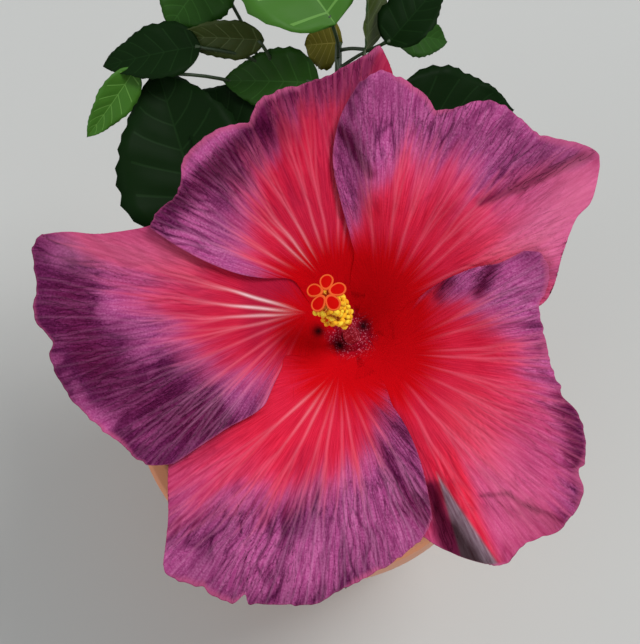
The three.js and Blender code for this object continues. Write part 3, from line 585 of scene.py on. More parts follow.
LEAF_TONES = [
    ("dark", "#0f230b", 0.04), ("mid", "#23490f", 0.14), ("young", "#3d6c20", 0.16),
    ("olive", "#3d4a20", 0.16), ("old", "#66601c", 0.1), ("dark_vein", "#142c0f", 0.06),
    ("mid_vein", "#2e581b", 0.14), ("young_vein", "#5f8e3e", 0.16), ("olive_vein", "#55633a", 0.16),
    ("old_vein", "#8a803a", 0.1), ("underside", "#3b5530", 0.05),
]
LEAF_SLOTS = {tone[0]: slot for slot, tone in enumerate(LEAF_TONES)}
SPRAY_TONES = ["dark", "dark", "mid", "mid", "young"]

flower_right = np.array([1, 0, 0])
flower_up = np.array([0, math.cos(FLOWER_LEAN), math.sin(FLOWER_LEAN)])
flower_front = np.array([0, -math.sin(FLOWER_LEAN), math.cos(FLOWER_LEAN)])


def dice(seed):
    """Repeatable numbers from 0 to 1."""
    state = seed
    while True:
        state = (state * 1664525 + 1013904223) % 2 ** 32
        yield state / 2 ** 32


def under_flower(places):
    """True where a place is hidden below the open flower, or far behind it."""
    away = places - FLOWER_MIDDLE
    across = away @ flower_up
    high = away @ flower_front
    spread = 1 - high / NARROWING
    x = away[:, 0] / spread - FAN[0]
    y = across / spread - FAN[1]
    angle = (np.degrees(np.arctan2(y, x)) - OUTLINE[0][0]) % 360 + OUTLINE[0][0]
    reach = np.hypot(x, y)
    covered = reach < through(OUTLINE, angle) - PETAL_COVER
    below = high < through(FUNNEL, reach) - PETAL_CLEARANCE
    return (across / spread > SHOWN_EDGE) | (covered & below)


def in_sector(places, first, last):
    x = places[:, 0] - SECTOR_MIDDLE[0]
    y = places[:, 1] - SECTOR_MIDDLE[1]
    reach = np.hypot(x, y)
    angle = np.degrees(np.arctan2(y, x))
    angle = np.where(angle < first - SECTOR_SLACK, angle + 360, angle)
    margin = np.degrees(SECTOR_MARGIN / reach)
    inside = (reach >= SECTOR_START) & (reach <= SHRUB_REACH) & (places[:, 2] >= LOWEST_LEAF)
    return inside & (angle > first + margin) & (angle < last - margin)


limb_lines = [bough["line"] for bough in BOUGHS.values()] + [TRUNK_LINE, FLOWER_STALK_ROOM]
limb_points = np.concatenate([Bend(line).at(np.linspace(0, 1, LIMB_STOPS)) for line in limb_lines])


def unit(v):
    return v / np.linalg.norm(v)


def turned(v, axis, angle):
    """v turned about an axis of length 1."""
    return (v * math.cos(angle) + np.cross(axis, v) * math.sin(angle)
            + axis * np.dot(axis, v) * (1 - math.cos(angle)))


def blade_samples(base, tip, width, face):
    along = tip - base
    side = unit(np.cross(along, face))
    return np.array([base + along * share + side * (across * half * width / 2)
                     for share, half in BLADE_OUTLINE for across in (-1, -0.5, 0, 0.5, 1)])


def shoot_leaves(shoot):
    """The stem of a shoot, and each leaf as (root, base, tip, width, face, tone)."""
    roll = dice(shoot["seed"])
    bough = Bend(BOUGHS[shoot["bough"]]["line"])
    start = bough.along(1)[0]
    finish = np.array(shoot["end"], dtype=float)
    middle = (start + finish) / 2 + bough.heading(1)[0] * np.linalg.norm(finish - start) * SHOOT_BOW
    stem = Bend([start, middle, finish])
    leaves = []
    for share, base, tip, width, turn, tone in shoot["placed"]:
        base = np.array(base, dtype=float)
        tip = np.array(tip, dtype=float)
        face = turned(np.array(LEAF_FACE), unit(tip - base), math.radians(turn))
        leaves.append((stem.along(share * SHOOT_END)[0], base, tip, width, face, tone))
    middles = []
    spin = next(roll) * 360
    for k in range(shoot["leaves"]):
        share = FIRST_LEAF + LEAF_RUN * k / max(shoot["leaves"] - 1, 1)
        for attempt in range(TRIES):
            spin += GOLDEN_TURN + (next(roll) - 0.5) * TURN_SPREAD
            length = mix(*shoot["sizes"], next(roll)) * SHRINK ** attempt
            stalk = mix(*LEAF_STALK_LENGTHS, next(roll))
            rise = math.radians(mix(*LEAF_RISES, share) + (next(roll) - 0.5) * RISE_SPREAD)
            width = length * mix(*LEAF_WIDTHS, next(roll))
            out = np.array([math.cos(math.radians(spin)), math.sin(math.radians(spin)), 0])
            root = stem.along(share * SHOOT_END)[0]
            base = root + out * stalk * LEAF_STALK_OUT + [0, 0, stalk * LEAF_STALK_UP]
            tip = base + out * length * math.cos(rise) + [0, 0, length * math.sin(rise)]
            face = np.array([0, 0, 1]) - out * FACE_LEAN
            samples = blade_samples(base, tip, width, face)
            centre = (base + tip) / 2
            near = np.linalg.norm(samples[:, None] - limb_points[None], axis=2).min()
            if (all(np.linalg.norm(other - centre) > LEAF_SPACING for other in middles)
                    and in_sector(samples, *shoot["sector"]).all() and under_flower(samples).all()
                    and near > LIMB_CLEARANCE):
                middles.append(centre)
                leaves.append((root, base, tip, width, face, SPRAY_TONES[int(spin) % len(SPRAY_TONES)]))
                break
    return stem, leaves


def leaf_rows():
    """Rows along a blade as (share, height of the quilting, tooth, starts a vein)."""
    rows = [(0, 0, 0, 0)]
    for k in range(SIDE_VEINS + 1):
        last = rows[-1][0]
        vein = (k + FIRST_VEIN) / (SIDE_VEINS + VEIN_ROOM)
        end = vein - VEIN_STRIP / 2 if k < SIDE_VEINS else 1
        for quarter, tooth in TOOTH_ROWS:
            rows.append((mix(last, end, quarter / 4), math.sin(math.pi * quarter / 4), tooth, 0))
        rows.append((end, 0, 0, k < SIDE_VEINS))
        if k < SIDE_VEINS:
            rows.append((vein + VEIN_STRIP / 2, 0, 0, 0))
    return np.array(rows)


LEAF_ROWS = leaf_rows()


def sheet_faces(rows, columns):
    """The corners of a sheet by row and column, and the faces between them."""
    corners = np.arange(rows * columns).reshape(rows, columns)
    around = [corners[:-1, :-1], corners[1:, :-1], corners[1:, 1:], corners[:-1, 1:]]
    return corners, np.stack(around, -1).reshape(-1, 4)


def leaf_blade(base, tip, width, face, tone, roll, fold=LEAF_FOLD, droop=LEAF_DROOP, waves=1):
    """Corners, faces and finishes of one leaf: a thin blade with both its sides."""
    along = tip - base
    length = np.linalg.norm(along)
    along = along / length
    up = unit(face - along * np.dot(face, along))
    side = np.cross(along, up)
    half = np.concatenate([[MIDRIB], np.linspace(FIRST_COLUMN, 1, LEAF_COLUMNS // 2 - 1)])
    across = np.concatenate([-half[::-1], half])[None, :]
    share, quilt, tooth = LEAF_ROWS[:, :3].T[..., None]
    off = np.abs(across)
    rim = off ** 6
    share = share + off * share * (1 - share) * LEAF_SWEEP
    breadth = through(LEAF_OUTLINE, share)
    teeth = LEAF_TEETH * rim * tooth * smoothstep(share, *TEETH_START)
    reach = across * breadth * width / 2 * (1 + teeth)
    sway = roll.uniform(-LEAF_SWAY, LEAF_SWAY) * length * np.sin(math.pi * share)
    lift = np.abs(reach) * fold - droop * length * share ** 2
    lift = lift + LEAF_QUILT * length * quilt * np.sin(math.pi * off) ** 0.7 * breadth
    phase = roll.uniform(0, 6.28)
    lift = lift + waves * rim * width * LEAF_WAVE * np.sin(share * LEAF_WAVES + phase + 2 * np.sign(across))
    flat = base + along * (length * share)[..., None] + side * (reach + sway)[..., None]
    top = (flat + up * lift[..., None]).reshape(-1, 3)
    rows, columns = share.shape
    depth = LEAF_THICKNESS * (1 - rim * np.ones((rows, 1))) + RIM_THICKNESS
    under = top - up * depth.reshape(-1, 1)
    number, quads = sheet_faces(rows, columns)
    below = quads[:, [0, 3, 2, 1]] + rows * columns
    strip = np.arange(columns - 1)
    is_vein = ((LEAF_ROWS[:-1, 3:] > 0) & (strip > 0) & (strip < columns - 2)) | (strip == columns // 2 - 1)
    slots = np.where(is_vein, LEAF_SLOTS[tone + "_vein"], LEAF_SLOTS[tone]).ravel()
    edge = [*number[0], *number[1:, -1], *number[-1, -2::-1], *number[-2:0:-1, 0]]
    skirt = [[i, j, j + rows * columns, i + rows * columns] for i, j in zip(edge, edge[1:] + edge[:1])]
    faces = quads.tolist() + below.tolist() + skirt
    slots = list(slots) + [LEAF_SLOTS["underside"]] * len(below) + [LEAF_SLOTS[tone]] * len(skirt)
    return np.concatenate([top, under]), faces, slots


leaves = Parts()
twigs = Parts()
leaf_roll = np.random.default_rng(17)
for name, shoot in SHOOTS.items():
    stem, grown = shoot_leaves(shoot)
    twigs.add(*tube(stem.line[1:-1], SHOOT_RADII, SHOOT_SIDES, SHOOT_STEPS, SHOOT_RELIEF))
    for root, base, tip, width, face, tone in grown:
        bend = (root + base) / 2 + [0, 0, LEAF_STALK_BOW]
        leaf_stalk = [root, bend, mix(base, tip, BLADE_JOIN)]
        twigs.add(*tube(leaf_stalk, LEAF_STALK_RADII, LEAF_STALK_SIDES, LEAF_STALK_STEPS))
        leaves.add(*leaf_blade(base, tip, width, face, tone, leaf_roll))
foliage = leaves.mesh("leaf_blades")
stems = twigs.mesh("green_stems")

# Leaf skin: waxy deep green with a soft shine above, paler and matt below. The
# veins are lighter, and the youngest leaves are yellow-green.
paint(foliage, [("leaf_" + name, colour, 0.5, shine) for name, colour, shine in LEAF_TONES])
hand_over(foliage, "leaf", "shoot_back", "shoot_back_left", "shoot_back_right", "shoot_right", "shoot_front",
          "shoot_left")

# Green stem skin: smooth and satin, greyer than the leaves.
green_stem = new_material("green_stem", "#33452a", 0.5)[0]
stems.data.materials.append(green_stem)
hand_over(stems, "greenwood")


# Flower stalk and calyx
# A smooth green stalk carries the flower on from its bough. On it sits the
# calyx, a cup with five pointed teeth, ringed by narrow bracts.
FOOT = [11.9, -5, -45]
FLOWER_STALK_RADII = [[0, 2.4], [0.3, 2.1], [0.62, 2.1], [0.66, 2.7], [0.7, 2.2], [0.85, 2.5], [1, 3]]
FLOWER_STALK_SIDES = 24
FLOWER_STALK_STEPS = 60
FLOWER_BOUGH_STEPS = 30
FLOWER_BOUGH_RELIEF = 0.2
FLOWER_STALK_STRAIGHT = 8
FLOWER_STALK_BOW = 3
CUP_DEPTH = 17
CUP_FLOOR = -3.4
CUP_WALL = 1.2
CUP_BELLY = 2.5
CUP_BULGE = 0.5
CUP_CLEARANCE = 1.5
TOOTH_CLEARANCE = 1.6
TOOTH_LEVEL = (11, 20)
CUP_TEETH = 5
TOOTH_TIP = 24
TOOTH_NOTCH = 13
TOOTH_SHAPE = 1.4
RIB_HEIGHT = 0.25
RIBS = 30
CUP_RINGS = 14
CUP_SIDES = 120
CUP_INNER = 6.8
CUP_FOOT = [(0.6, 0), (2.6, 0), (4.2, 0.6), (5.2, 3)]
CUP_INSIDE = [6.3, 2, 0.6]
BRACTS = 8
BRACT_TURN = 0.3
BRACT_START = 3
BRACT_REACH = 13.5
BRACT_RISE = 0.6
BRACT_TIPS = (5.5, 8.5)
BRACT_WIDTH = 2.6
GAP = 0.3


def to_plant(points):
    """Points of the flower's own frame, in the plant's frame."""
    points = np.asarray(points, dtype=float)
    upright = points[..., :1] * flower_right + points[..., 1:2] * flower_up + points[..., 2:] * flower_front
    return upright + np.array(FLOWER_MIDDLE)


flower_bough = Bend(BOUGHS["bough_flower"]["line"])
stalk_start = flower_bough.along(1)[0]
stalk_end = to_plant([FOOT[0], FOOT[1], FOOT[2] - CUP_DEPTH - GAP])
stalk_below = to_plant([FOOT[0], FOOT[1], FOOT[2] - CUP_DEPTH - GAP - FLOWER_STALK_STRAIGHT])
stalk_middle = (stalk_start + stalk_below) / 2 + flower_bough.heading(1)[0] * FLOWER_STALK_BOW
green = Parts()
green.add(*tube(BOUGHS["bough_flower"]["line"], BOUGHS["bough_flower"]["radii"], BOUGH_SIDES,
                FLOWER_BOUGH_STEPS, FLOWER_BOUGH_RELIEF))
green.add(*tube([stalk_start, stalk_middle, stalk_below, stalk_end], FLOWER_STALK_RADII,
                FLOWER_STALK_SIDES, FLOWER_STALK_STEPS))

cup_turn = turns(CUP_SIDES)
tooth_reach = mix(TOOTH_NOTCH, TOOTH_TIP, np.abs(np.cos(cup_turn * CUP_TEETH / 2)) ** TOOTH_SHAPE)
rib = RIB_HEIGHT * np.cos(cup_turn * RIBS)
cup = [level_ring(radius, height - CUP_DEPTH, cup_turn) for radius, height in CUP_FOOT]
for outside in (True, False):
    shares = np.linspace(0, 1, CUP_RINGS)
    for share in shares if outside else shares[::-1]:
        wide = mix(CUP_INNER, tooth_reach, share)
        clear = CUP_CLEARANCE + TOOTH_CLEARANCE * smoothstep(wide, *TOOTH_LEVEL)
        level = through(FUNNEL, wide / (1 - FOOT[2] / NARROWING)) - FOOT[2] - clear
        if outside:
            level = level - CUP_WALL * (1 - share ** 4) - CUP_BELLY * (1 - share) ** 2
            level = level - rib * (1 - share ** 3)
            wide = wide + CUP_BULGE * (1 - share ** 4)
        cup.append(level_ring(wide, level, cup_turn))
cup += [level_ring(radius, CUP_FLOOR, cup_turn) for radius in CUP_INSIDE]
sepals = add_mesh("calyx_cup", to_plant(np.concatenate(cup) + FOOT), ring_faces(len(cup), CUP_SIDES))
hand_over(sepals, "greenwood", "calyx")

bract_roll = np.random.default_rng(4)
for k in range(BRACTS):
    angle = 2 * math.pi * (k + BRACT_TURN) / BRACTS
    spoke = np.array([math.cos(angle), math.sin(angle), 0])
    base = np.array(FOOT) + spoke * BRACT_START + [0, 0, BRACT_RISE - CUP_DEPTH]
    tip = np.array(FOOT) + spoke * BRACT_REACH + [0, 0, bract_roll.uniform(*BRACT_TIPS) - CUP_DEPTH]
    face = to_plant(spoke * -0.5 + [0, 0, 0.8]) - FLOWER_MIDDLE
    bract, bract_faces, _ = leaf_blade(to_plant(base), to_plant(tip), BRACT_WIDTH, face, "mid", bract_roll,
                                       fold=0.1, droop=-0.1, waves=0)
    green.add(bract, bract_faces)
stalk = green.mesh("flower_stalk_and_bracts")

# Calyx skin: thick, dull mid green, a little lighter than the leaves.
paint(sepals, [("calyx_skin", "#4f6e35", 0.6)])
stalk.data.materials.append(green_stem)
hand_over(stalk, "greenwood", "bough_flower", "flower_stalk")


# Petals
# Five broad, thin, soft petals that overlap in one turn like a pinwheel. They
# rise from narrow claws in the throat, open flat and end in a ruffled edge.
CLAW_RADIUS = 3.4
CLAW_HUG = 1.6
SIDE_LIFT = [[16, 0], [30, 0.7], [44, 2.1], [70, 2.2], [114, 2.6]]
PETAL_THICKNESS = 0.45
PETAL_COLUMNS = 236
PETAL_ROWS = 196
ROW_SPREAD = 0.9
PETAL_WAVES = [(1.6, 9, 0.05, 0), (1.2, 14, 0, 1.3)]
WAVES_START = (45, 105)
CLAW_SPREAD = 14
CLAW_END = (14, 30)
MARGIN_RAGS = [(0.9, 3.1, 0), (0.8, 1.1, 9)]
RUFFLE = 1.8
RUFFLE_SPACING = 4.4
RUFFLE_START = (0.84, 1)
VEINS_PER_PETAL = 9
VEIN_FORKS = (30, 46, 60)
VEIN_WIDTHS = (0.55, 0.38)
VEIN_POWERS = (0.6, 1)
VEIN_SCATTER = 0.3
VEIN_BOW = 0.03
VEIN_FAN = 0.05
VEIN_SWAY = 1.2
VEIN_RELIEF = 0.2
VEIN_FADE = (35, 75)
FORK_SCATTER = 8
FORK_GAPS = (0.25, 0.45)
FORK_POWER = 0.6
FORK_RUN = 28
CREPE_RELIEF = 0.55
CREPE_SPACING = (2.6, 1.3)
CREPE_LENGTH = 9
CREPE_START = (22, 50)
CREPE_WANDER = 1.3
CREPE_BENDS = 8
NETTING_SIZE = 1.2
PATCH_SIZE = 14
SHADE_SIZE = 16
# Painted shade along curled margins: how dark, and how far in from the margin it reaches
CURL_PAINTED_SHADE = 0.4
CURL_EDGE = (1, 9)
PURPLE_BORDER = (-20, 12)
HEART_BORDER = (-5, 9)
CREASE_SLOPE = (0.7, 1)
PURPLE_FINGERS = [(8, 4, 0, 60), (5, 1.3, 7, 30)]
HEART_FINGERS = [(8, 1.3, 3, 40), (5, 6, 3, 60)]
PINK_START = (44, 84)
SIDE_RIM = (0.1, 0.8)
SIDE_RIM_START = (35, 50)
THROAT_EDGE = (5, 10)
FLARE_MIDDLE = 14
FLARE_LENGTH = 15
# A wedge of painted sky sheen and shade on the steep wall of a fold in the lower right petal: its point, its
# end and the width of that end
PAINTED_SHEEN_FOLD = ([30, -48], [45, -80], 11)
# Painted shadow in pits round the column's foot: each pit's place and size
PIT_SHADOWS = [[-11.7, 1.4, 2.4], [4.2, 3, 2], [-3.9, -3.6, 2.2]]

# under and over are a petal's low and high side, as distances from the middle
# with their angles. root is where its veins start, heart how far its deep red
# heart reaches, and purple where its red gives way to purple, side to side.
# shade is how dark a petal is overall and in patches: partly deeper purple, partly painted shade.
PETALS = {
    "petal_upper_right": {
        "under": [[6, 18], [12, 12], [19, 6], [31, 18], [45, 18], [55, 14], [62, 9], [70, 10], [79, 20],
                  [89, 27], [97, 29], [104, 33]],
        "over": [[6, 64], [15, 76], [26, 86], [42, 93], [60, 96], [75, 93.5], [90, 88]],
        "root": [10.4, 9.4], "veins": [0, 98], "outer_veins": 0.4, "pale": [0, 0, 1], "pink": 0.45,
        "shade": [0, 0.3], "heart": 33, "nicks": [[46.8, 1.2, 0.9], [69.5, 1, 0.8]],
        "purple": [[0, 124], [0.1, 106], [0.2, 90], [0.3, 76], [0.45, 74], [0.6, 76], [0.75, 70], [0.87, 56],
                   [1, 38]],
    },
    "petal_upper": {
        "under": [[6, 88], [15, 84], [25, 79], [45, 79], [70, 77], [90, 80], [97, 82.5]],
        "over": [[6, 130], [15, 130], [28, 136], [36, 146], [44, 151], [55, 153], [68, 153], [81, 152]],
        "root": [-4.3, 13.3], "veins": [78, 162], "outer_veins": 0.25, "pale": [0.6, 132, 20], "pink": 0.1,
        "shade": [0.3, 0.35], "heart": 33, "nicks": [[116, 1.5, 1.5]],
        "purple": [[0, 112], [0.12, 96], [0.3, 88], [0.45, 78], [0.7, 64], [0.9, 52], [1, 40]],
    },
    "petal_left": {
        "under": [[6, 156], [15, 137], [25, 129], [40, 136], [60, 142], [72, 146], [82, 153], [94, 158],
                  [105, 160], [113, 162]],
        "over": [[6, 202], [15, 194], [24, 193], [28, 206], [33, 213], [40, 219], [55, 217], [78, 216]],
        "root": [-15, 8], "veins": [158, 246], "outer_veins": 0.3, "pale": [1, 168, 20], "pink": 0.36,
        "shade": [0.6, 0.4], "heart": 24, "nicks": [[181.5, 1.5, 1.2], [163, -2.6, 3.2]],
        "purple": [[0, 112], [0.2, 86], [0.5, 66], [0.75, 50], [1, 36]],
    },
    "petal_lower": {
        "under": [[6, 226], [15, 204], [24, 186], [33, 203], [40, 208], [60, 206], [72, 209], [80, 216],
                  [90, 224], [98, 228], [106, 231]],
        "over": [[6, 274], [12, 284], [18, 293], [25, 299], [35, 301], [45, 300], [62, 296], [72, 293.5]],
        "root": [-4.1, -11.3], "veins": [218, 306], "outer_veins": 0.7, "pale": [0.3, 228, 22], "pink": 0.3,
        "shade": [0.1, 0.4], "heart": 24, "nicks": [[248, 4, 0.9], [240, 1.2, 1.2]],
        "purple": [[0, 94], [0.2, 82], [0.4, 68], [0.6, 58], [0.8, 46], [1, 30]],
    },
    "petal_lower_right": {
        "under": [[6, 298], [12, 295], [18, 287], [25, 291], [35, 292], [50, 288], [65, 286], [76, 290],
                  [85, 295], [96, 302]],
        "over": [[6, 350], [12, 358], [19, 374], [23, 383], [31, 390], [48, 389], [58, 386], [68, 386]],
        "root": [10, -6.5], "veins": [294, 394], "outer_veins": 0.5, "pale": [0, 0, 1], "pink": 0.4,
        "shade": [0, 0.25], "heart": 30, "nicks": [[329, 3, 1.4], [344, 2.5, 1.4]],
        "purple": [[0, 120], [0.25, 100], [0.45, 84], [0.6, 70], [0.75, 58], [1, 36]],
    },
}

# Soft strokes, each from one place to another with its strength and width:
# folds are heights; shades are darker, partly the petals' deeper colour and partly
# painted shade in folds and under the next petal, or paler where negative; glows are
# paler, and streaks stay red.
FOLDS = [
    [0, 44, -4, 80, -4, 7], [9, 50, 7, 90, 4, 8], [50, 48, 84, 62, -3, 5], [60, 70, 40, 50, 3, 9],
    [12, 98, 0, 74, 6, 5], [-62, 52, -40, 78, 6, 6], [-52, 46, -32, 70, -5, 6], [-40, -2, -100, -6, 3, 12],
    [-50, -24, -80, -36, -3, 10], [-30, -50, -50, -86, 3, 9], [6, -44, 20, -74, 3, 8],
    [38, -58, 56, -90, 8, 6], [29, -58, 42, -92, -6, 5], [50, 8, 70, 26, 3, 7],
]
SHADES = {
    "petal_upper_right": [
        [-5, 75, 7, 57, 0.8, 1.8], [-4, 66, -1, 46, 0.1, 6], [86, 65, 59, 52, 1.3, 1.7],
        [59, 52, 46, 47, 0.9, 1.7], [30, 78, 66, 60, 0.2, 9],
    ],
    "petal_upper": [
        [-68, 40, -46, 60, 0.3, 10], [-56, 40, -50, 46, -0.3, 6], [-46, 60, -28, 73, 0.5, 9],
        [-30, 82, 6, 96, 0.75, 8], [-60, 58, -41, 75, -0.8, 3.5], [-60, 30, -40, 20, -0.5, 9],
    ],
    "petal_left": [
        [-103, 30, -72, 32, -0.35, 8], [-99, 14, -92, -6, 0.5, 9], [-84, 10, -74, -2, -0.5, 8],
        [-88, -14, -50, -33, 0.35, 12], [-104, -10, -89, -33, -0.9, 4], [-57, -31, -49, -25, 0.3, 6],
        [-42, -22, -36, -15, -0.4, 6],
    ],
    "petal_lower": [[9, -27, 26, -39, 0.4, 3], [8, -37, 26, -64, 0.35, 3], [20, -60, 38, -76, 0.4, 6]],
    "petal_lower_right": [
        [34, 21, 31, 14, 0.9, 2.5], [52, 28, 45, 15, 0.9, 2.5], [76, -23, 82, -48, 0.5, 4],
        [46, -57, 56, -56, 0.6, 0.8], [55, -56, 66, -63, 0.7, 0.9], [62, -60, 75, -66, 0.5, 1],
        [50, -60, 72, -66, 0.25, 4], [28, -54, 36, -78, 1.2, 2.6], [36, -70, 46, -86, 1.2, 4],
    ],
}
GLOWS = {
    "petal_upper_right": [[60, 26, 82, 52, 0.42, 11]],
    "petal_left": [[-98, 32, -60, 27, 0.25, 7]],
    "petal_lower_right": [[42, -30, 60, -62, 0.2, 10]],
}
RED_STREAKS = [[33, -44, 50, -84, 0.6, 3.5], [-22, 50, -20, 80, 0.3, 6]]


def strokes(x, y, lines):
    """The sum of soft strokes at each place."""
    total = np.zeros_like(x)
    for x0, y0, x1, y1, strength, width in lines:
        run = math.hypot(x1 - x0, y1 - y0)
        along = np.clip(((x - x0) * (x1 - x0) + (y - y0) * (y1 - y0)) / run ** 2, 0, 1)
        off = np.hypot(x - mix(x0, x1, along), y - mix(y0, y1, along))
        total += strength * np.exp(-(off / width) ** 2)
    return total


def wedge(x, y, apex, end, width):
    """1 inside a wedge that runs from its point to an end of this width."""
    ahead = np.subtract(end, apex)
    long = np.hypot(*ahead)
    ahead = ahead / long
    along = (x - apex[0]) * ahead[0] + (y - apex[1]) * ahead[1]
    off = np.abs((x - apex[0]) * ahead[1] - (y - apex[1]) * ahead[0])
    return smoothstep(width / 2 * along / long - off, -0.4, 0.8) * (along > 0)


def ripple(u, row):
    """Soft random relief along one line, from 0 to 1."""
    return grain(u, 0 * u + row)


def reach_of_fingers(heading, run, kinds):
    """How much farther or less far a colour reaches, in fingers along the veins."""
    return sum(length * (grain(heading / wide + start, run / long) - 0.5)
               for length, wide, start, long in kinds)


def petal_height(x, y, side):
    """Height of a petal over the flower's middle plane."""
    reach = np.hypot(x, y)
    angle = np.arctan2(y, x)
    waves = sum(height * np.sin(count * angle + sweep * reach + start)
                for height, count, sweep, start in PETAL_WAVES)
    high = through(FUNNEL, reach) + through(SIDE_LIFT, reach) * side
    high += smoothstep(reach, *WAVES_START) * waves
    return high + strokes(x, y, FOLDS)


def petal_veins(heading, run, shape, roll):
    """How strongly a vein shows. Veins fan out from the claw and send off branches."""
    shown = np.zeros_like(heading)
    first, last = shape["veins"]
    step = (last - first) / VEINS_PER_PETAL
    width = mix(*VEIN_WIDTHS, np.clip(run / 70, 0, 1))
    for k in range(VEINS_PER_PETAL):
        start = first + step * (k + 0.5 + roll.uniform(-VEIN_SCATTER, VEIN_SCATTER))
        bow = roll.uniform(-VEIN_BOW, VEIN_BOW) + VEIN_FAN * (k - VEINS_PER_PETAL / 2) / VEINS_PER_PETAL
        main = start + bow * (run - 30) + VEIN_SWAY * (ripple(run / 9 + 13 * k, first) - 0.5)
        power = roll.uniform(*VEIN_POWERS)
        branches = [(main, power)]
        for fork in VEIN_FORKS:
            for way in (-1, 1):
                leave = fork + roll.uniform(-FORK_SCATTER, FORK_SCATTER)
                gap = way * step * roll.uniform(*FORK_GAPS) * np.clip((run - leave) / FORK_RUN, 0, 1.3) ** 0.8
                branches.append((main + gap, power * FORK_POWER * smoothstep(run, leave, leave + 3)))
        for centre, strength in branches:
            off = run * np.radians(heading - centre)
            shown = np.maximum(shown, strength * np.exp(-(off / width) ** 2))
    return shown


def make_petal(name, shape, seed):
    """One petal with its creases and veins, and the marks that its colours follow."""
    roll = np.random.default_rng(seed)
    edge = PETAL_EDGES[name]

    # A sheet of rows from the claw out to a ragged margin
    across, out = np.meshgrid(np.linspace(0, 1, PETAL_COLUMNS + 1), np.linspace(0, 1, PETAL_ROWS + 1))
    out = out ** ROW_SPREAD
    margin_angle = mix(edge[0][0], edge[-1][0], across)
    margin = through(edge, margin_angle)
    for depth, spacing, row in MARGIN_RAGS:
        margin += depth * (ripple(margin_angle / spacing, seed + row) - 0.5)
    for angle, depth, width in shape["nicks"]:
        margin -= depth * np.exp(-((margin_angle - angle) / width) ** 2)
    reach = mix(CLAW_RADIUS, margin, out)
    claw = CLAW_SPREAD * (1 - smoothstep(reach, *CLAW_END))
    low = through(shape["under"], mix(CLAW_RADIUS, edge[0][1], out)) - claw
    high = through(shape["over"], mix(CLAW_RADIUS, edge[-1][1], out)) + claw
    angle = np.radians(mix(low, high, across))
    x = reach * np.cos(angle)
    y = reach * np.sin(angle)
    z = petal_height(x, y, 2 * across - 1) + CLAW_HUG * np.clip(6 - reach, 0, None)

    # Veins, by how far each place lies from their root and in which direction
    root_x, root_y = shape["root"]
    run = np.hypot(x - root_x, y - root_y)
    heading = np.degrees(np.arctan2(y - root_y, x - root_x))
    centre = sum(shape["veins"]) / 2
    heading = (heading - centre + 180) % 360 - 180 + centre
    outward = smoothstep(run, *CREPE_START)
    veins = petal_veins(heading, run, shape, roll)

    # Crepe: fine creases that run out along the veins and wander a little
    wander = CREPE_WANDER * (grain(x / CREPE_BENDS + 60, y / CREPE_BENDS + 60) - 0.5)
    creases = []
    for gap in CREPE_SPACING:
        line = grain(heading / gap + wander + 40 * gap, run / (CREPE_LENGTH * gap) + seed)
        creases.append(smoothstep(1 - np.abs(2 * line - 1), *CREASE_SLOPE))
    crease = np.clip(creases[0] + 0.7 * creases[1], 0, 1)
    netting = grain(x / NETTING_SIZE + 128, y / NETTING_SIZE + 128) - 0.5
    patches = smoothstep(grain(x / PATCH_SIZE + 9, y / PATCH_SIZE + seed), 0.2, 0.8)
    depth = outward * mix(0.35, 1, patches)
    z = z + CREPE_RELIEF * depth * (0.3 * netting - crease) + VEIN_RELIEF * veins * outward
    z += smoothstep(out, *RUFFLE_START) * RUFFLE * (ripple(margin_angle / RUFFLE_SPACING, seed) - 0.5)

    narrow = 1 - z / NARROWING
    corners = np.stack([(FAN[0] + x) * narrow, (FAN[1] + y) * narrow, z], -1).reshape(-1, 3)
    quads = sheet_faces(PETAL_ROWS + 1, PETAL_COLUMNS + 1)[1][:, ::-1]
    petal = add_mesh(name + "_bloom", to_plant(corners), quads)
    spread = petal.data.uv_layers.new(name="Petal")
    loops = np.empty(len(petal.data.loops), dtype=np.int32)
    petal.data.loops.foreach_get("vertex_index", loops)
    flat = np.stack([heading / 10, run / 10], -1).reshape(-1, 2)[loops]
    spread.data.foreach_set("uv", flat.astype(np.float32).ravel())

    # Purple creeps in from the margin in fingers, and the heart stays deep red
    border = through(shape["purple"], across)
    fingers = reach_of_fingers(heading, run, PURPLE_FINGERS)
    purple = smoothstep(reach + fingers - 5 * veins, border + PURPLE_BORDER[0], border + PURPLE_BORDER[1])
    purple = np.maximum(purple, shape["pink"] * smoothstep(reach + fingers, *PINK_START))
    purple = np.clip(purple - strokes(x, y, RED_STREAKS), 0, 1)
    fringe = reach_of_fingers(heading, run, HEART_FINGERS)
    heart_edges = [shape["heart"] + edge_shift for edge_shift in HEART_BORDER]
    heart = 1 - smoothstep(reach + fringe, *heart_edges)

    # Pale rims, along the margin and the free sides
    rim_noise = smoothstep(ripple(margin_angle / 7, 5 + seed), 0.3, 0.8)
    rim = (1 - smoothstep(margin - reach, 0.2, 0.7 + 2.2 * rim_noise)) * mix(0.3, 0.9, rim_noise)
    side_edge = np.minimum(across, 1 - across) * np.radians(high - low) * reach
    side_rim = 0.5 * (1 - smoothstep(side_edge, *SIDE_RIM)) * smoothstep(reach, *SIDE_RIM_START)
    rim = np.maximum(rim, side_rim)

    # Darker patches and strokes, partly deeper colour and partly painted shade, with painted
    # shade along curled margins and in the crepe's creases
    base_shade, patch_shade = shape["shade"]
    painted = strokes(x, y, SHADES[name])
    curl = smoothstep(ripple(margin_angle / 9 + 50, seed), 0.25, 0.7)
    dark = base_shade + patch_shade * smoothstep(grain(x / SHADE_SIZE + 33, y / SHADE_SIZE + 71), 0.25, 0.75)
    dark = dark + painted + CURL_PAINTED_SHADE * curl * (1 - smoothstep(margin - reach, *CURL_EDGE))
    dark = np.clip(dark + 0.7 * (crease - 0.16) * depth, 0, 1)
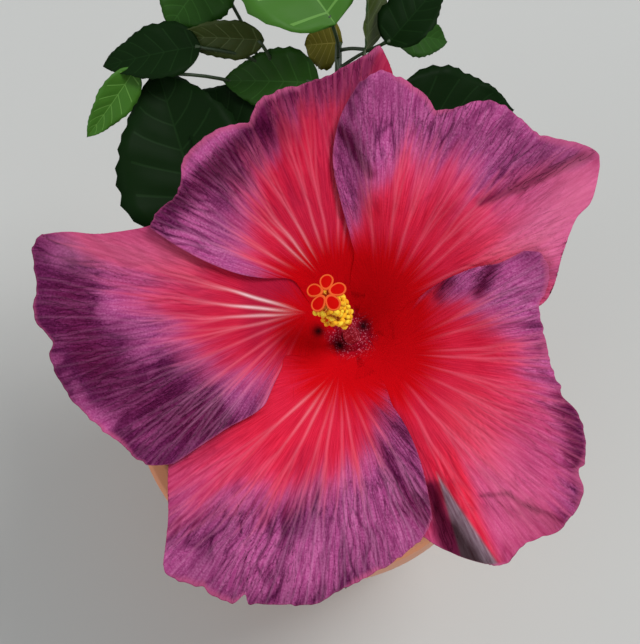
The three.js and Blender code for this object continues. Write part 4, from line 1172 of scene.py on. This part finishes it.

    # The throat, painted shadow in its pits round the column, and the pale veins that leave it
    throat = 1 - smoothstep(reach + 4 * (grain(heading / 5, run / 9) - 0.5), *THROAT_EDGE)
    pit_shadow = sum(np.exp(-((x - px) ** 2 + (y - py) ** 2) / size ** 2) for px, py, size in PIT_SHADOWS)
    flare, flare_heading, flare_spread = shape["pale"]
    pale = np.exp(-((run - FLARE_MIDDLE) / FLARE_LENGTH) ** 2)
    pale = np.clip(1.5 * flare * (pale * np.exp(-((heading - flare_heading) / flare_spread) ** 2)), 0, 1)
    glow = strokes(x, y, GLOWS.get(name, []))
    fade = mix(1, shape["outer_veins"], smoothstep(run, *VEIN_FADE))
    stored = {
        "heart": heart, "purple": purple, "pale": pale, "throat": throat, "rim": rim,
        "pit_shadow": np.clip(pit_shadow, 0, 1),
        "vein": np.clip(veins * mix(0.48 * fade, 1, pale) + glow, 0, 1),
        # folded is painted sky sheen and shade on the steep wall of one fold
        "folded": wedge(x, y, *PAINTED_SHEEN_FOLD) if name == "petal_lower_right" else 0 * x,
        "crumple": np.clip(purple * (mix(0.3, 0.7, patches) + 1.2 * painted), 0.2 * purple, 1),
        # dark deepens the purple and shade turns the red to dark crimson; both are partly painted shade
        "dark": dark * np.clip(1.6 * purple, 0, 1),
        "shade": np.clip(0.45 * dark * (1 - purple) + 0.55 * np.clip(painted, 0, 1), 0, 1),
    }
    for mark, values in stored.items():
        numbers = petal.data.attributes.new(mark, "FLOAT", "POINT")
        numbers.data.foreach_set("value", np.asarray(values, dtype=np.float32).ravel())

    pick(petal)
    wall = petal.modifiers.new("wall", "SOLIDIFY")
    wall.thickness = PETAL_THICKNESS * MM
    wall.offset = 0
    bpy.ops.object.modifier_apply(modifier=wall.name)
    hand_over(petal, "petal", name)
    return petal


# Petal tissue: soft velvety cells full of red and blue-red sap, with no hard
# gloss. Fine lines run out along the veins, about half a millimetre apart.
petal_tissue, petal_shader, petal_node = new_material("petal_tissue", "#c2203f", 0.7, 0.05)
petal_place = petal_node("UVMap", uv_map="Petal")
petal_space = petal_node("TexCoord")
marks = {mark: (petal_node("Attribute", attribute_name=mark), "Fac") for mark in (
    "heart", "purple", "vein", "pale", "folded", "rim", "dark", "shade", "crumple", "throat", "pit_shadow")}
line_map = petal_node("Mapping", {"Vector": (petal_place, "UV"), "Scale": (15, 1, 1)})
lines = petal_node("TexNoise", {"Vector": (line_map, "Vector"), "Scale": 1, "Detail": 3, "Roughness": 0.6},
                   noise_dimensions="2D")
line = petal_node("MapRange", {"Value": (lines, "Fac"), "From Min": 0.2, "From Max": 0.8})
cells = petal_node("TexNoise", {"Vector": (petal_space, "Object"), "Scale": 1400, "Detail": 2})
cell = petal_node("MapRange", {"Value": (cells, "Fac"), "From Min": 0.3, "From Max": 0.7})
speckle = petal_node("Math", {0: (cell, "Result"), 1: (line, "Result")}, operation="MULTIPLY")
dots = petal_node("TexVoronoi", {"Vector": (petal_space, "Object"), "Scale": 1100})
dot = petal_node("MapRange", {"Value": (dots, "Distance"), "From Min": 0.34, "From Max": 0.22})

# Wrinkles: thin dark lines of painted shade between the crepe, where the petal is crumpled
crepe_map = petal_node("Mapping", {"Vector": (petal_place, "UV"), "Scale": (6, 0.9, 1)})
crepe_noise = petal_node("TexNoise", {"Vector": (crepe_map, "Vector"), "Scale": 1, "Detail": 3,
                                      "Roughness": 0.5, "Distortion": 0.2}, noise_dimensions="2D")
crepe_off = petal_node("Math", {0: (crepe_noise, "Fac"), 1: 0.5}, operation="SUBTRACT")
crepe_side = petal_node("Math", {0: (crepe_off, 0)}, operation="ABSOLUTE")
crepe = petal_node("MapRange", {"Value": (crepe_side, 0), "From Min": 0.05, "From Max": 0})
wrinkle = petal_node("Math", {0: (crepe, "Result"), 1: marks["crumple"]}, operation="MULTIPLY")
painted_crease_shade = petal_node("Math", {0: (wrinkle, 0), 1: 0.55}, operation="MULTIPLY")

# Tones: each goes from one colour, or a tone above it, to another, by the
# lines, cells, dots or marks
to_pink = petal_node("MapRange", {"Value": marks["purple"], "From Max": 0.45})
to_mauve = petal_node("MapRange", {"Value": marks["purple"], "From Min": 0.2, "From Max": 0.8})
tones = {}
# The cool tone darkens with the dark mark, which is partly painted shade, and the grey fold tone is painted
# sky sheen, darkened by painted shade.
for name, share, first, second in [
    ("red", (line, "Result"), "#be0c2c", "#ee2c4c"), ("pink", (line, "Result"), "#b62c5e", "#e06090"),
    ("mauve", (speckle, 0), "#a43c7a", "#d878ae"), ("deep", (speckle, 0), "#4a0a34", "#86306a"),
    ("core", (line, "Result"), "#b6000c", "#de0815"), ("grey", (line, "Result"), "#7a5464", "#bca0ae"),
    ("dotted", (dot, "Result"), "#940c26", "#dc7890"), ("vein", marks["purple"], "#f06880", "#d488b2"),
    ("warm", (to_pink, "Result"), "red", "pink"), ("cool", marks["dark"], "mauve", "deep"),
    ("zone", (to_mauve, "Result"), "warm", "cool"), ("pale_vein", marks["pale"], "vein", "#fad9dc"),
    ("painted_sheen_fold", marks["shade"], "grey", "#2c0c10"),
]:
    ends = {0: share, 6: tones.get(first, first), 7: tones.get(second, second)}
    tones[name] = (petal_node("Mix", ends, data_type="RGBA"), 2)

# Coats: each one covers the last where its mark is strong
petal_tone = tones["zone"]
# The crepe coat is painted shade in the creases, the shade coat darker crimson that is partly painted shade,
# the pit coat painted shadow, and the grey fold painted sky sheen and shade.
for share, coat in [
    ((painted_crease_shade, 0), "#500c3a"), (marks["shade"], "#620c34"), (marks["vein"], tones["pale_vein"]),
    (marks["heart"], tones["core"]), (marks["folded"], tones["painted_sheen_fold"]),
    (marks["throat"], tones["dotted"]), (marks["pit_shadow"], "#1a0308"), (marks["rim"], "#b8527c"),
]:
    petal_tone = (petal_node("Mix", {0: share, 6: petal_tone, 7: coat}, data_type="RGBA"), 2)
crepe_bump = petal_node("Bump", {"Height": (wrinkle, 0), "Strength": 0.8, "Distance": 0.5 * MM}, invert=True)
petal_bump = petal_node("Bump", {"Height": (speckle, 0), "Strength": 0.35, "Distance": 0.3 * MM,
                                 "Normal": (crepe_bump, "Normal")})
fill(petal_shader, {"Base Color": petal_tone, "Normal": (petal_bump, "Normal")})

for number, (petal_name, petal_shape) in enumerate(PETALS.items()):
    petal_piece = make_petal(petal_name, petal_shape, 3 + number)
    petal_piece.data.materials.append(petal_tissue)


# Staminal column and anthers
# A smooth red tube leans up out of the throat. Dozens of short threads stand
# on its upper part, each with a kidney-shaped head full of golden pollen.
COLUMN_LINE = [[11.9, -5, -47.9], [11.9, -4.9, -40], [8.6, 1.4, -20], [3.9, 7.6, -2]]
COLUMN_FOOT = 0.5
COLUMN_RADII = [[0, 5.6], [0.06, 5.2], [0.16, 3.4], [0.5, 2.4], [1, 2]]
COLUMN_SIDES = 40
COLUMN_STEPS = 60
ANTHER_SLEEVE = [0.56, 0.97]
ANTHERS = 130
THREAD_LEANS = [-0.1, 0.5]
THREAD_RADII = [[0, 0.22], [1, 0.16]]
THREAD_SIDES = 5
THREAD_STEPS = 4
THREAD_START = 1.6
HEAD_SIZE = 1.2
HEAD_SIZES = [0.8, 1.15]
HEAD_SHAPE = [1.15, 0.75, 0.7]
HEAD_ROUGHNESS = 0.12
HEAD_BEND = 0.25
HEAD_REACH = [3.2, 6.2]
HEAD_TAPER = [0.5, 1.3]
HEAD_LEAN = 0.28

column_bend = Bend(COLUMN_LINE)
column_corners, column_faces = tube(COLUMN_LINE, COLUMN_RADII, COLUMN_SIDES, COLUMN_STEPS)
foot_slots = [int(i < len(column_faces) * COLUMN_FOOT) for i in range(len(column_faces))]
column = add_mesh("column_tube", to_plant(column_corners), column_faces, foot_slots)

# Column skin: smooth and satin. Its foot is dotted with pale pores that are
# about a millimetre apart.
paint(column, [("column_skin", "#b3102a", 0.5)])
column_foot, foot_shader, foot_node = new_material("column_foot_skin", "#7c0a20", 0.7)
foot_place = foot_node("TexCoord")
foot_dots = foot_node("TexVoronoi", {"Vector": (foot_place, "Object"), "Scale": 900})
foot_dot = foot_node("MapRange", {"Value": (foot_dots, "Distance"), "From Min": 0.42, "From Max": 0.26})
foot_tone = foot_node("Mix", {0: (foot_dot, "Result"), 6: "#960c28", 7: "#e0788e"}, data_type="RGBA")
fill(foot_shader, {"Base Color": (foot_tone, 2)})
column.data.materials.append(column_foot)
hand_over(column, "column", "staminal_column")

head_corners, head_faces = ball(2)
pollen_roll = np.random.default_rng(12)
heads = Parts()
for k in range(ANTHERS):
    share = mix(*ANTHER_SLEEVE, (k + 0.5) / ANTHERS)
    root = column_bend.along(share)[0]
    ahead = column_bend.heading(share)[0]
    side = unit(np.cross([1, 0, 0], ahead))
    side = turned(side, ahead, math.radians(k * GOLDEN_TURN))
    lean = unit(side + ahead * pollen_roll.uniform(*THREAD_LEANS))
    taper = min(HEAD_TAPER[0] + HEAD_TAPER[1] * k / ANTHERS, 1) * (1 - HEAD_LEAN * lean[0])
    place = root + lean * pollen_roll.uniform(*HEAD_REACH) * taper
    thread = [root + side * THREAD_START, (root + place) / 2 + side * THREAD_START / 4, place]
    heads.add(*tube(thread, THREAD_RADII, THREAD_SIDES, THREAD_STEPS), 1)
    first = unit(np.cross(lean, pollen_roll.normal(size=3)))
    second = np.cross(lean, first)
    rough = 1 + HEAD_ROUGHNESS * pollen_roll.uniform(-1, 1, (len(head_corners), 1))
    kidney = head_corners * rough * HEAD_SHAPE * HEAD_SIZE * pollen_roll.uniform(*HEAD_SIZES)
    kidney[:, 2] -= HEAD_BEND * kidney[:, 0] ** 2
    heads.add(kidney @ np.array([first, second, lean]) + place, head_faces, 2 if k % 2 == 0 else 0)
anthers = heads.mesh("anther_crowd", to_plant)

# Pollen: dry golden powder, all but matt, on satin threads.
paint(anthers, [("pollen", "#fabb14", 0.85), ("anther_thread", "#f0b43c", 0.6),
                ("fresh_pollen", "#ffdc34", 0.85)])
hand_over(anthers, "anther", "anthers")


# Stigma
# Five short arms part at the tip of the column. Each ends in a drop-shaped,
# velvety scarlet pad with a thin orange rim.
STIGMA_PADS = 5
STIGMA_TURN = 34
STIGMA_RING = 4.7
STIGMA_RISE = 7
STYLE_RADII = [[0, 1.9], [1, 1.5]]
STYLE_SIDES = 20
STYLE_STEPS = 6
STYLE_SINK = 1.5
STYLE_LENGTH = 3.2
ARM_RADII = [[0, 0.9], [0.8, 0.75], [1, 1.2]]
ARM_SIDES = 12
ARM_STEPS = 14
ARM_START = (2, 0.6)
ARM_KNEE = (0.5, 0.45)
PAD_GAP = 0.5
PAD_LEAN = 0.18
PAD_WIDTH = 5.5
PAD_POINT = 0.38
PAD_WAIST = 0.06
PAD_DEPTH = 1.5
PAD_SIDES = 40
PAD_PROFILE = [(0.05, 0.42), (0.3, 0.4), (0.55, 0.34), (0.76, 0.24), (0.8, 0.3), (0.88, 0.36), (0.96, 0.26),
               (1, 0), (0.94, -0.3), (0.7, -0.5), (0.3, -0.6), (0.05, -0.6)]
PAD_RIM = range(3, 8)

pad_turn = turns(PAD_SIDES)
drop = 1 + PAD_POINT * np.clip(-np.cos(pad_turn), 0, 1) ** 4 - PAD_WAIST * np.sin(pad_turn) ** 2
pad_faces = [face[::-1] for face in ring_faces(len(PAD_PROFILE), PAD_SIDES)]
pad_slots = [int(i // PAD_SIDES in PAD_RIM) for i in range(len(pad_faces) - 1)] + [1]
style = Parts()
column_top = column_bend.along(1)[0]
ahead = column_bend.heading(1)[0]
style_root = column_top + ahead * GAP
style.add(*tube([column_top - ahead * STYLE_SINK, style_root, style_root + ahead * STYLE_LENGTH],
                STYLE_RADII, STYLE_SIDES, STYLE_STEPS), 1)
for k in range(STIGMA_PADS):
    away = unit(np.cross([1, 0, 0], ahead))
    away = turned(away, ahead, math.radians(360 / STIGMA_PADS * k + STIGMA_TURN))
    pad = style_root + ahead * STIGMA_RISE + away * STIGMA_RING
    knee = style_root + ahead * STIGMA_RISE * ARM_KNEE[0] + away * STIGMA_RING * ARM_KNEE[1]
    foot = style_root + ahead * ARM_START[0] + away * ARM_START[1]
    style.add(*tube([foot, knee, pad - ahead * PAD_GAP], ARM_RADII, ARM_SIDES, ARM_STEPS), 1)
    up = unit(ahead + away * PAD_LEAN)
    outward = unit(away - up * np.dot(away, up))
    rim = np.cos(pad_turn)[:, None] * outward + np.sin(pad_turn)[:, None] * np.cross(up, outward)
    rings = [pad + (share * drop * PAD_WIDTH / 2)[:, None] * rim + up * height * PAD_DEPTH
             for share, height in PAD_PROFILE]
    style.add(np.concatenate(rings), pad_faces, pad_slots)
stigma = style.mesh("stigma_pads", to_plant)

# Stigma skin: fine velvet, nearly matt.
paint(stigma, [("stigma_velvet", "#c90503", 0.8, 0.05), ("stigma_rim", "#e8602c", 0.8, 0.05)])
hand_over(stigma, "stigma", "stigma")


# Floor, light and camera
# A plain pale floor, a soft light from the right, a broad faint one from the
# left and a dim sky. The camera looks straight into the flower from a little
# over half a metre away.
FLOOR_SIZE = 6
VIEW_DISTANCE = 560
LENS = 88.4
NEAREST = 0.02
FARTHEST = 20
PLANT_MIDDLE = Vector((0, 0, 0.28))
LIGHTS = [("key_light", (1.5, 0.6, 3.4), 1.2, 72), ("fill_light", (-2.4, -1.8, 2.6), 2.5, 20)]
SKY_STRENGTH = 0.63
bpy.ops.mesh.primitive_plane_add(size=FLOOR_SIZE, location=(0, 0, 0))
floor = bpy.context.object
floor.name = "floor"
paint(floor, [("floor_paint", "#c3c3c0", 0.9)])

for name, place, size, power in LIGHTS:
    bpy.ops.object.light_add(type="AREA", location=place)
    lamp = bpy.context.object
    lamp.name = name
    lamp.data.size = size
    lamp.data.energy = power
    lamp.rotation_euler = (PLANT_MIDDLE - Vector(place)).to_track_quat("-Z", "Y").to_euler()

sky = bpy.data.worlds.new("sky")
bpy.context.scene.world = sky
sky.use_nodes = True
fill(sky.node_tree.nodes["Background"], {"Color": "#e9eef2", "Strength": SKY_STRENGTH})
bpy.context.scene.view_settings.view_transform = "Standard"

bpy.ops.object.camera_add(location=to_plant([0, 0, VIEW_DISTANCE]) * MM, rotation=(FLOWER_LEAN, 0, 0))
camera = bpy.context.object
camera.data.lens = LENS
camera.data.clip_start = NEAREST
camera.data.clip_end = FARTHEST
bpy.context.scene.camera = camera
